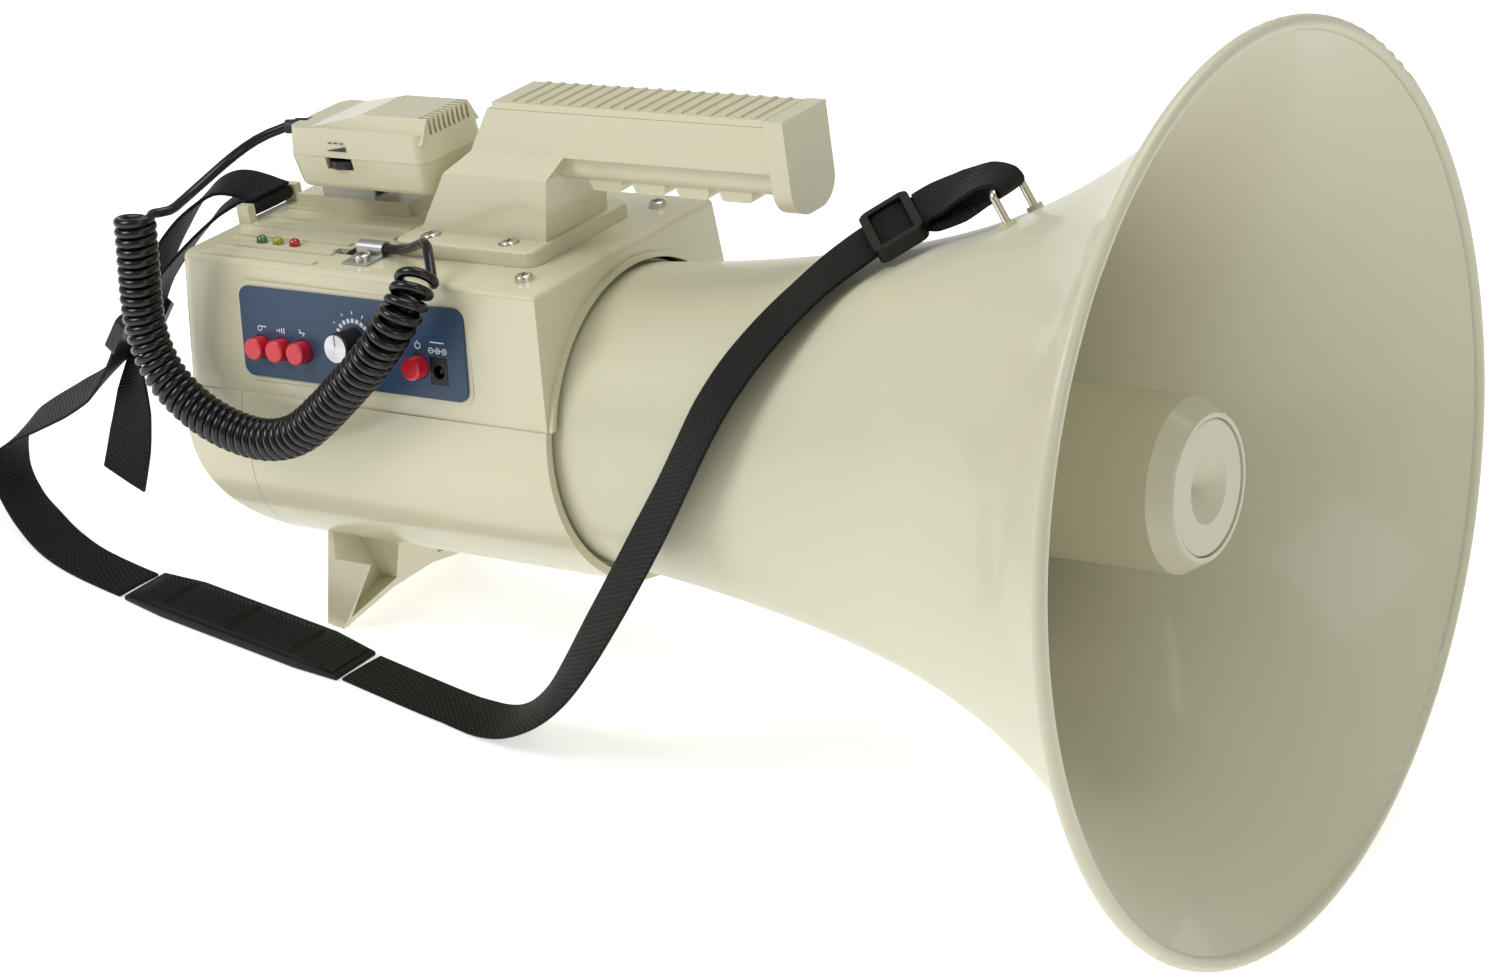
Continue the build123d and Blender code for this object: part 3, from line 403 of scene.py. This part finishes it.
# ---- the microphone's cord: straight lead, curly length, clamped lead ----
CORD_R = 2.15 * MM
COIL_R = 7.35 * MM
COIL_PITCH = 4.42 * MM
TURN_POINTS = 14
LOOSE_FROM = 0.72
LOOSE_RATE = 3.2
LOOSE_MOST = 0.35
LEAD_A = [(-469, -9.5, 120.3), (-477.5, -14.5, 118), (-484.5, -22, 114),
          (-488.5, -32, 109.6), (-490, -43, 105.8), (-490, -54, 103), (-488.5, -63, 101.7), (-486, -71.5, 101.2)]
COIL = [(-494, -84.5, 105.5), (-495, -85.5, 93), (-497.5, -86, 76), (-500.5, -86, 59), (-499.5, -86, 42),
        (-493, -86, 27.5), (-479, -86, 15.5), (-462, -86, 8.5), (-442, -86, 5.5), (-422, -86, 10),
        (-405, -86, 22), (-389, -86, 35), (-373, -86, 48.5), (-359.5, -85.5, 62), (-352.5, -81, 73),
        (-351, -73, 81.5), (-352.5, -63.5, 87.5)]
LEAD_B = [(-361, -51, 91), (-371, -44.5, 86.5), (-383, -39.8, 81.2),
          (-396, -37.5, 79.1), (-409, -36.8, 79), (-418, -37, 75.4), (-424.5, -37.3, 70.5)]


def walk(line, distance):
    """Place and direction that far along a line."""
    for start, end in zip(line, line[1:]):
        step = (end - start).length
        if distance <= step:
            return start.lerp(end, distance / step), (end - start).normalized()
        distance -= step
    return line[-1].copy(), (line[-1] - line[-2]).normalized()


def coil_points(axis_line, first, leave_to):
    """Close turns round the axis line, from beside first until they point at leave_to."""
    length = sum((b - a).length for a, b in zip(axis_line, axis_line[1:]))
    _, direction = walk(axis_line, 0)
    side = first - axis_line[0]
    side = (side - direction * side.dot(direction)).normalized()
    margin = CORD_R * 1.1
    points, angle, along = [], 0.0, margin
    while along < length - margin:
        centre, ahead = walk(axis_line, along)
        side = (side - ahead * side.dot(ahead)).normalized()
        other = ahead.cross(side)
        points.append(centre + (side * math.cos(angle) + other * math.sin(angle)) * COIL_R)
        loosening = max(0.0, along / length - LOOSE_FROM) * LOOSE_RATE
        angle += 2 * math.pi / TURN_POINTS
        along += COIL_PITCH * (1 + LOOSE_MOST * min(loosening, 1)) / TURN_POINTS

    def points_at_exit(i):
        return (points[i] - points[i - 1]).normalized().dot((leave_to - points[i]).normalized())

    best = max(range(len(points) - TURN_POINTS, len(points)), key=points_at_exit)
    return points[:best + 1]


def make_cord():
    """The whole cord as one round wire, from its microphone end to its clamped end."""
    lead_in = [at(*p) for p in LEAD_A]
    lead_out = [at(*p) for p in LEAD_B]
    axis_line = route_line([at(*p) for p in COIL], 24)
    turns = coil_points(axis_line, lead_in[-1], lead_out[0])
    route = lead_in + turns + lead_out
    line = route_line(route, 2)
    curve = bpy.data.curves.new("handset_cord", "CURVE")
    curve.dimensions = "3D"
    spline = curve.splines.new("POLY")
    spline.points.add(len(line) - 1)
    for point, place in zip(spline.points, line):
        point.co = (*place, 1)
    curve.bevel_depth = CORD_R
    curve.bevel_resolution = 3
    curve.use_fill_caps = True
    cord = bpy.data.objects.new("handset_cord", curve)
    bpy.context.scene.collection.objects.link(cord)
    clear_selection()
    cord.select_set(True)
    bpy.context.view_layer.objects.active = cord
    bpy.ops.object.convert(target="MESH")
    cord = bpy.context.object
    bpy.ops.object.shade_smooth()
    finish_piece(cord, "handset_cord", "shell", "cord_black")
    cord.parent = None
    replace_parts(cord, "mic_lead", "curly_cord", "clamp_lead")
    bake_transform(cord)


make_cord()

# ---- webbing ----
WEB_WIDTH = 25.0 * MM
WEB_THICK = 1.5 * MM
WEB_CROWN = 0.00025
WEB_LIES_AT = 0.0011


def band(name, rows, half_widths=None, fineness=10):
    """Flat webbing along (place, face direction) rows, mapped flat in metres for its weave."""
    places = [at(*place) for place, _ in rows]
    faces = [towards(*face) for _, face in rows]
    for k in range(1, len(faces)):
        if faces[k].dot(faces[k - 1]) < -0.2:
            faces[k] = -faces[k]
    line = route_line(places, fineness)
    lengths = [0.0]
    for a, b in zip(line, line[1:]):
        lengths.append(lengths[-1] + (b - a).length)
    knots = [0.0]
    for a, b in zip(places, places[1:]):
        knots.append(knots[-1] + (b - a).length)
    clear_selection()
    bpy.ops.mesh.primitive_grid_add(x_subdivisions=len(line) - 1, y_subdivisions=6, size=2,
                                    calc_uvs=True)
    piece = bpy.context.object
    mesh = piece.data
    for vertex in mesh.vertices:
        i = round((vertex.co.x + 1) / 2 * (len(line) - 1))
        share = lengths[i] / lengths[-1]
        where = share * knots[-1]
        k = max(j for j in range(len(knots) - 1) if knots[j] <= where + 1e-9)
        t = min((where - knots[k]) / (knots[k + 1] - knots[k]), 1)
        face = faces[k].lerp(faces[k + 1], t)
        ahead = (line[min(i + 1, len(line) - 1)] - line[max(i - 1, 0)]).normalized()
        across = face.cross(ahead).normalized()
        half = WEB_WIDTH / 2
        if half_widths:
            half = (half_widths[k] * (1 - t) + half_widths[k + 1] * t) * MM
        crown = 1 - vertex.co.y ** 2
        vertex.co = (line[i] + across * (half * vertex.co.y)
                     + across.cross(ahead) * (-WEB_CROWN * crown))
    layer = mesh.uv_layers.active.data
    for loop in layer:
        loop.uv = (loop.uv.x * lengths[-1], loop.uv.y * WEB_WIDTH)
    solid = piece.modifiers.new("thickness", "SOLIDIFY")
    solid.thickness = WEB_THICK
    solid.offset = 0
    edge = piece.modifiers.new("edge", "BEVEL")
    edge.width = 0.45 * MM
    edge.segments = 2
    edge.angle_limit = math.radians(50)
    apply_modifiers(piece)
    bpy.ops.object.shade_smooth_by_angle(angle=math.radians(40))
    return finish_piece(piece, name, "shell", "black_webbing")


FLOOR_UP = tuple(TURN.transposed() @ Vector((0, 0, 1)))


def on_floor(x, y, lift=0.0):
    """A point of the webbing's middle where it lies on the floor, lift above it."""
    z = (WEB_LIES_AT - MOUTH.z - AHEAD.z * x * MM) / ABOVE.z / MM
    return (x, y, z + lift)


SLIDER_F, SLIDER_F_ALONG, SLIDER_F_UP = (-161, -3, 96), (-0.70, -0.60, -0.40), (-0.18, -0.394, 0.906)
SLIDER_R, SLIDER_R_ALONG, SLIDER_R_UP = (-551, -43, 32.4), (0.63, 0, 0.777), (-0.777, 0, 0.63)


def shifted(point, direction, amount, up=(0, 0, 1), rise=0.0):
    ahead, above = Vector(direction).normalized(), Vector(up).normalized()
    return tuple(Vector(point) + ahead * amount + above * rise)


FRONT_ROWS = [(shifted(SLIDER_F, SLIDER_F_ALONG, -13, SLIDER_F_UP, -0.2), SLIDER_F_UP),
              (shifted(SLIDER_F, SLIDER_F_ALONG, -9, SLIDER_F_UP, -0.2), SLIDER_F_UP),
              (shifted(SLIDER_F, SLIDER_F_ALONG, -4, SLIDER_F_UP, 1.4), SLIDER_F_UP),
              (shifted(SLIDER_F, SLIDER_F_ALONG, 4, SLIDER_F_UP, 1.4), SLIDER_F_UP),
              (shifted(SLIDER_F, SLIDER_F_ALONG, 9, SLIDER_F_UP, -0.2), SLIDER_F_UP),
              (shifted(SLIDER_F, SLIDER_F_ALONG, 14, SLIDER_F_UP, -0.2), SLIDER_F_UP),
              ((-180, -24, 83), (-0.28, -0.52, 0.81)), ((-187, -42, 75), (-0.35, -0.62, 0.70)),
              ((-195, -56, 64.5), (-0.42, -0.70, 0.58)), ((-203, -66, 53), (-0.48, -0.76, 0.44)),
              ((-212, -74, 38), (-0.53, -0.79, 0.33)), ((-222, -78, 20), (-0.56, -0.77, 0.30)),
              ((-234, -79, 1), (-0.55, -0.77, 0.32)), ((-249, -79, -20), (-0.50, -0.78, 0.36)),
              ((-265, -79, -42), (-0.46, -0.77, 0.43)), ((-283, -79, -66), (-0.40, -0.73, 0.54)),
              ((-302, -79, -90), (-0.28, -0.60, 0.74)), ((-322, -77, -108), (-0.08, -0.38, 0.92)),
              (on_floor(-345, -74, 2.5), (0.05, -0.15, 0.98)), (on_floor(-370, -72), FLOOR_UP),
              (on_floor(-395, -71), FLOOR_UP), (on_floor(-428, -69), FLOOR_UP)]
REAR_ROWS = [(on_floor(-558, -70), FLOOR_UP), (on_floor(-585, -69), FLOOR_UP),
             (on_floor(-612, -64, 1.0), (0.2, 0.0, 0.98)), (on_floor(-636, -55, 5), (0.42, 0.05, 0.9)),
             ((-656, -46, -60), (0.76, 0.1, 0.64)), ((-663, -40, -46), (0.97, 0.15, 0.05)),
             ((-655, -36, -33), (0.68, 0.3, -0.66)), ((-636, -35, -24), (0.38, 0.4, -0.83)),
             ((-612, -37, -13), (0.32, 0.45, -0.82)), ((-590, -39, -2), (0.42, 0.4, -0.80)),
             ((-571, -41.5, 11), (0.65, 0.15, -0.74)),
             (shifted(SLIDER_R, SLIDER_R_ALONG, -12), (0.777, 0, -0.63)), (SLIDER_R, (0.777, 0, -0.63)),
             (shifted(SLIDER_R, SLIDER_R_ALONG, 10.8), (0.777, 0, -0.63))]
TAIL_ROWS = [((-555.7, -43, 20.6), (-0.7, -0.7, 0)), ((-559, -43.3, 9), (-0.5, -0.86, 0)),
             ((-564.5, -43.8, -7), (-0.2, -0.97, 0)), ((-572.5, -43.5, -27), (0, -1, 0)),
             ((-583, -43, -47.5), (0.05, -1, 0))]
LOOP_LOW = [(shifted(SLIDER_R, SLIDER_R_ALONG, 11.4), SLIDER_R_UP),
            (shifted(SLIDER_R, SLIDER_R_ALONG, 15.4), SLIDER_R_UP), ((-533.5, -38, 55), (-0.75, -0.2, 0.6)),
            ((-524.5, -27, 68), (-0.65, -0.25, 0.7)), ((-518, -14, 77), (-0.5, -0.2, 0.8)),
            ((-514, -5, 81.5), (-0.3, -0.1, 0.95)), ((-506, 0, 83.6), (0.1, 0, 1)),
            ((-497, 0, 83.9), (0.1, 0, 1)), ((-494.6, 0, 81), (1, 0, 0)), ((-498, 0, 78.2), (0.2, 0, -1))]
LOOP_HIGH = [((-542.6, -42.6, 48.6), SLIDER_R_UP), ((-537.5, -36, 61), (-0.85, -0.15, 0.4)),
             ((-529.5, -25, 77), (-0.75, -0.2, 0.6)), ((-520.5, -12, 88.5), (-0.4, -0.2, 0.85)),
             ((-511.5, -3.5, 90), (0.3, 0, 0.95)), ((-503, 0, 86.3), (0.4, 0, 0.85)),
             ((-496, 0, 85.2), (0.2, 0, 1))]
BAIL_ROWS = [(shifted(SLIDER_F, SLIDER_F_ALONG, -11.4, SLIDER_F_UP, 0.6), SLIDER_F_UP),
             (shifted(SLIDER_F, SLIDER_F_ALONG, -17, SLIDER_F_UP, 1.2), SLIDER_F_UP),
             ((-138, 7, 108.5), (-0.34, -0.42, 0.84)), ((-123, 3, 116.5), (-0.34, -0.30, 0.89)),
             ((-111, 0, 119.4), (-0.05, -0.10, 0.98)), ((-105.6, 0, 116.2), (1, 0, 0.1)),
             ((-110.5, 0, 112.0), (0.36, 0, -0.93)), ((-123, 1, 107.2), (0.34, 0.30, -0.89)),
             ((-138, 5, 102.6), (0.34, 0.42, -0.84)),
             (shifted(SLIDER_F, SLIDER_F_ALONG, -17, SLIDER_F_UP, -1.4), tuple(-v for v in SLIDER_F_UP)),
             (shifted(SLIDER_F, SLIDER_F_ALONG, -11.4, SLIDER_F_UP, -1.0), tuple(-v for v in SLIDER_F_UP))]
BAIL_HALVES = (12.5, 12.5, 12.0, 10.6, 9.2, 8.4, 9.2, 10.6, 12.0, 12.5, 12.5)


def make_strap():
    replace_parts(band("strap_front_band", FRONT_ROWS), "strap_front")
    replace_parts(band("strap_rear_band", REAR_ROWS), "strap_rear")
    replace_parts(band("strap_tail_band", TAIL_ROWS), "strap_tail")
    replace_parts(band("strap_bail_band", BAIL_ROWS, BAIL_HALVES), "strap_front_loop")
    lower = band("strap_lug_band", LOOP_LOW)
    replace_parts(lower, "strap_rear_loop")
    band("strap_lug_band_upper", LOOP_HIGH)


make_strap()


# ---- shoulder pad ----
NUB_PITCH = 2.5 * MM
NUB_SIDES = 6
SLOT_PLACES = (-38 * MM, 0.0, 38 * MM)


def make_pad():
    """Rubber pad: a bevelled tray, a crowned top with rows of nubs, and dips at its slots."""
    low, high = (Vector(v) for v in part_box("shoulder_pad"))
    centre, size = (low + high) / 2, high - low
    clear_selection()
    bpy.ops.mesh.primitive_cube_add(size=1, location=(centre.x, centre.y, low.z + size.z * 0.3),
                                    scale=(size.x, size.y, size.z * 0.6))
    tray = bpy.context.object
    bpy.ops.object.transform_apply(location=True, rotation=True, scale=True)
    bpy.ops.object.mode_set(mode="EDIT")
    bpy.ops.mesh.select_all(action="SELECT")
    bpy.ops.mesh.bisect(plane_co=centre + Vector((size.x * 0.31, 0, 0)), plane_no=(1, 0, 0))
    bpy.ops.mesh.select_all(action="SELECT")
    bpy.ops.mesh.bisect(plane_co=centre - Vector((size.x * 0.31, 0, 0)), plane_no=(1, 0, 0))
    bpy.ops.object.mode_set(mode="OBJECT")
    for vertex in tray.data.vertices:
        if abs(vertex.co.x - centre.x) > size.x * 0.45:
            vertex.co.y = centre.y + (vertex.co.y - centre.y) * 0.86
            if vertex.co.z > centre.z:
                vertex.co.z -= size.z * 0.22
    soften = tray.modifiers.new("soften", "BEVEL")
    soften.width = 1.1 * MM
    soften.segments = 3
    apply_modifiers(tray)
    clear_selection()
    bpy.ops.mesh.primitive_grid_add(x_subdivisions=64, y_subdivisions=16, size=1,
                                    location=(centre.x, centre.y, low.z + size.z * 0.6))
    top = bpy.context.object
    top.scale = (size.x * 0.95, size.y * 0.88, 1)
    bpy.ops.object.transform_apply(location=True, rotation=True, scale=True)
    for vertex in top.data.vertices:
        across = (vertex.co.y - centre.y) / (size.y * 0.44)
        along = (vertex.co.x - centre.x) / (size.x * 0.475)
        narrow = 1 - 0.12 * max(0, abs(along) - 0.6) / 0.4
        vertex.co.y = centre.y + (vertex.co.y - centre.y) * narrow
        crown = (1 - abs(across) ** 4) * (1 - abs(along) ** 6)
        dip = 0.0
        for slot in SLOT_PLACES:
            near = abs(vertex.co.x - centre.x - slot)
            if near < 3.2 * MM and abs(across) < 0.86:
                dip = 1.0
        vertex.co.z = low.z + size.z * (0.5 + 0.42 * crown - 0.34 * dip)
    skin = top.modifiers.new("thickness", "SOLIDIFY")
    skin.thickness = 1.2 * MM
    skin.offset = -1
    apply_modifiers(top)
    pieces = [tray, top]
    columns = int(size.x * 0.88 / NUB_PITCH)
    rows = int(size.y * 0.74 / NUB_PITCH)
    clear_selection()
    bpy.ops.mesh.primitive_cone_add(vertices=NUB_SIDES, radius1=0.95 * MM, radius2=0.45 * MM, depth=0.8 * MM)
    nub = bpy.context.object
    nub.location = (centre.x - columns * NUB_PITCH / 2, centre.y - rows * NUB_PITCH / 2,
                    low.z + size.z * 0.93)
    bpy.ops.object.transform_apply(location=True, rotation=True, scale=True)
    for label, count, offset in (("columns", columns + 1, (NUB_PITCH, 0, 0)),
                                 ("rows", rows + 1, (0, NUB_PITCH, 0))):
        array = nub.modifiers.new(label, "ARRAY")
        array.use_relative_offset = False
        array.use_constant_offset = True
        array.constant_offset_displace = offset
        array.count = count
    apply_modifiers(nub)
    mesh = nub.data
    for i in range(0, len(mesh.vertices), 2 * NUB_SIDES):
        block = mesh.vertices[i:i + 2 * NUB_SIDES]
        x = sum(v.co.x for v in block) / len(block) - centre.x
        y = sum(v.co.y for v in block) / len(block) - centre.y
        across, along = y / (size.y * 0.44), x / (size.x * 0.475)
        crown = (1 - min(abs(across), 1) ** 4) * (1 - min(abs(along), 1) ** 6)
        buried = any(abs(x - slot) < 4.2 * MM for slot in SLOT_PLACES)
        drop = size.z * (0.42 * (1 - crown)) + (2.4 * MM if buried else 0)
        for vertex in block:
            vertex.co.z -= drop
    pieces.append(nub)
    pad = join(pieces)
    bpy.ops.object.shade_smooth_by_angle(angle=math.radians(35))
    finish_piece(pad, "shoulder_pad_rubber", "shell", "pad_rubber")
    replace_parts(pad, "shoulder_pad")


make_pad()


# ---- printed marks ----
PANEL_OUT = Vector(MOUNTS["power_jack"]["axis"])
PANEL_FACE = frame_matrix(Vector(MOUNTS["power_jack"]["pos_m"]), AHEAD, PANEL_OUT)
MARK_HIGH = 0.12 * MM


def bar(x, y, width, height, turn=0.0):
    """Thin printed bar on a face's own flat frame, in mm."""
    clear_selection()
    bpy.ops.mesh.primitive_cube_add(size=1)
    piece = bpy.context.object
    piece.matrix_world = (Matrix.Translation((x * MM, y * MM, 0)) @ Matrix.Rotation(turn, 4, "Z")
                          @ Matrix.Diagonal((width * MM, height * MM, MARK_HIGH, 1)))
    return piece


def hoop(x, y, radius, thick, arc=1.0, start=0.0, sides=28):
    """Thin printed ring, or the part of one, made of short bars."""
    count = max(3, int(sides * arc))
    step = 2 * math.pi * arc / count
    bars = []
    for i in range(count):
        angle = start + (i + 0.5) * step
        bars.append(bar(x + radius * math.cos(angle), y + radius * math.sin(angle),
                        thick, radius * step * 1.12, angle))
    return bars


def panel_marks():
    """Plain signs over the buttons, ticks round the knob, a switch sign and a plug sign."""
    marks = []
    marks += hoop(-99.6, 9.6, 1.1, 0.45) + [bar(-97.2, 10.5, 2.6, 0.5)]
    for i in range(4):
        marks.append(bar(-89.6 + i * 1.3, 9.5, 0.55, 1.0 + 0.55 * i))
    marks += [bar(-75.4, 9.6, 3.6, 0.45), bar(-76.4, 10.5, 0.45, 1.6, 0.7),
              bar(-74.6, 8.8, 0.45, 1.5, -0.7)]
    knob, inner_ring, outer_ring = (-45.9, 8.1), 9.6, 13
    for i in range(9):
        angle = math.radians(150 - i * 15)
        marks.append(bar(knob[0] + inner_ring * math.cos(angle), knob[1] + inner_ring * math.sin(angle),
                         1.9, 1.25 + 0.1 * i, angle))
    for i in range(5):
        angle = math.radians(142 - i * 26)
        marks.append(bar(knob[0] + outer_ring * math.cos(angle), knob[1] + outer_ring * math.sin(angle),
                         0.8 + 0.3 * i, 0.5, angle))
    marks += hoop(-10.7, 10.6, 1.4, 0.45, arc=0.8, start=math.radians(126))
    marks += [bar(-10.7, 11.9, 0.45, 1.6)]
    for x in (-3.6, 0.0, 3.6):
        marks += hoop(x, 9.0, 1.15, 0.4)
    marks += [bar(0.0, 9.0, 0.9, 0.9), bar(-1.8, 9.0, 1.2, 0.4), bar(1.8, 9.0, 1.2, 0.4),
              bar(-3.6, 9.0, 1.1, 0.4), bar(3.6, 9.0, 1.1, 0.4), bar(3.6, 9.0, 0.4, 1.1)]
    marks += [bar(0.0, 12.6, 7.6, 0.5)]
    piece = join(marks)
    finish_piece(piece, "panel_marks", "shell", "navy_panel", MATERIALS["print_white"], PANEL_FACE)


def microphone_marks():
    """Rising wedge over the thumbwheel on the microphone's near side."""
    face = frame_matrix(at(-431.5, -21.0, 115.0), AHEAD, -ACROSS)
    marks = []
    for i in range(9):
        marks.append(bar(-4.6 + i * 1.15, 0.15 + 0.11 * i, 1.16, 0.3 + 0.22 * i))
    for i in range(3):
        marks.append(bar(-3.2 + i * 3.2, 3.6, 2.0, 0.5))
    piece = join(marks)
    finish_piece(piece, "microphone_marks", "microphone", "ivory_plastic", MATERIALS["print_dark"], face)


panel_marks()
microphone_marks()


# ---- knurled knob ----
KNOB_R = 6.5 * MM
KNOB_DEEP = 10.8 * MM
FLUTE = 0.955
SKIRT = 1.02
CAP_HALF = 0.45 * MM
KNOB_HALF = 5.42 * MM


def make_knob():
    """Fluted black grip, a little wider at its foot, behind the metal cap."""
    low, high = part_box("knob_cap")
    cap = Vector([(a + b) / 2 for a, b in zip(low, high)])
    clear_selection()
    bpy.ops.mesh.primitive_cylinder_add(vertices=72, radius=KNOB_R, depth=KNOB_DEEP,
                                        end_fill_type="NGON")
    knob = bpy.context.object
    for vertex in knob.data.vertices:
        if vertex.index // 2 % 2:
            vertex.co.x *= FLUTE
            vertex.co.y *= FLUTE
        if vertex.co.z < 0:
            vertex.co.x *= SKIRT
            vertex.co.y *= SKIRT
    soften = knob.modifiers.new("soften", "BEVEL")
    soften.width = 0.25 * MM
    soften.segments = 2
    soften.angle_limit = math.radians(60)
    apply_modifiers(knob)
    place = frame_matrix(cap - PANEL_OUT * (CAP_HALF + KNOB_HALF), AHEAD, PANEL_OUT)
    finish_piece(knob, "knob_grip", "knob", "black_plastic", matrix=place)
    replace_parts(knob, "volume_knob")


make_knob()


# ---- studio ----
def studio_paper():
    """White paper that stays white however little light falls on it."""
    material, tree, shader = start_material("studio_paper", (0.86, 0.86, 0.86), 0, 0.9)
    shader.inputs["Specular IOR Level"].default_value = 0.1
    shader.inputs["Emission Color"].default_value = (1, 1, 1, 1)
    shader.inputs["Emission Strength"].default_value = 0.55
    return material


# name, place, size and watts of each area light, all aimed at LIT_PLACE
LAMPS = (("key", (-1.3, -1.5, 1.7), 1.1, 27), ("fill", (1.7, -0.7, 1.3), 0.9, 5),
         ("top", (0.0, 0.5, 2.1), 1.3, 17))
LIT_PLACE = Vector((0, 0, 0.15))


def make_studio():
    clear_selection()
    bpy.ops.mesh.primitive_plane_add(size=9, location=(0, 0, -0.0002))
    floor = bpy.context.object
    floor.name = "studio_floor"
    floor.data.materials.append(studio_paper())
    world = bpy.data.worlds.new("studio")
    bpy.context.scene.world = world
    world.use_nodes = True
    sky = world.node_tree.nodes["Background"]
    sky.inputs["Color"].default_value = (1, 1, 1, 1)
    sky.inputs["Strength"].default_value = 0.34
    for name, place, size, power in LAMPS:
        data = bpy.data.lights.new(name, "AREA")
        data.size = size
        data.energy = power
        light = bpy.data.objects.new(name, data)
        light.location = place
        aim = LIT_PLACE - light.location
        light.rotation_mode = "QUATERNION"
        light.rotation_quaternion = aim.to_track_quat("-Z", "Y")
        bpy.context.scene.collection.objects.link(light)
    bpy.context.scene.view_settings.view_transform = "Standard"


make_studio()
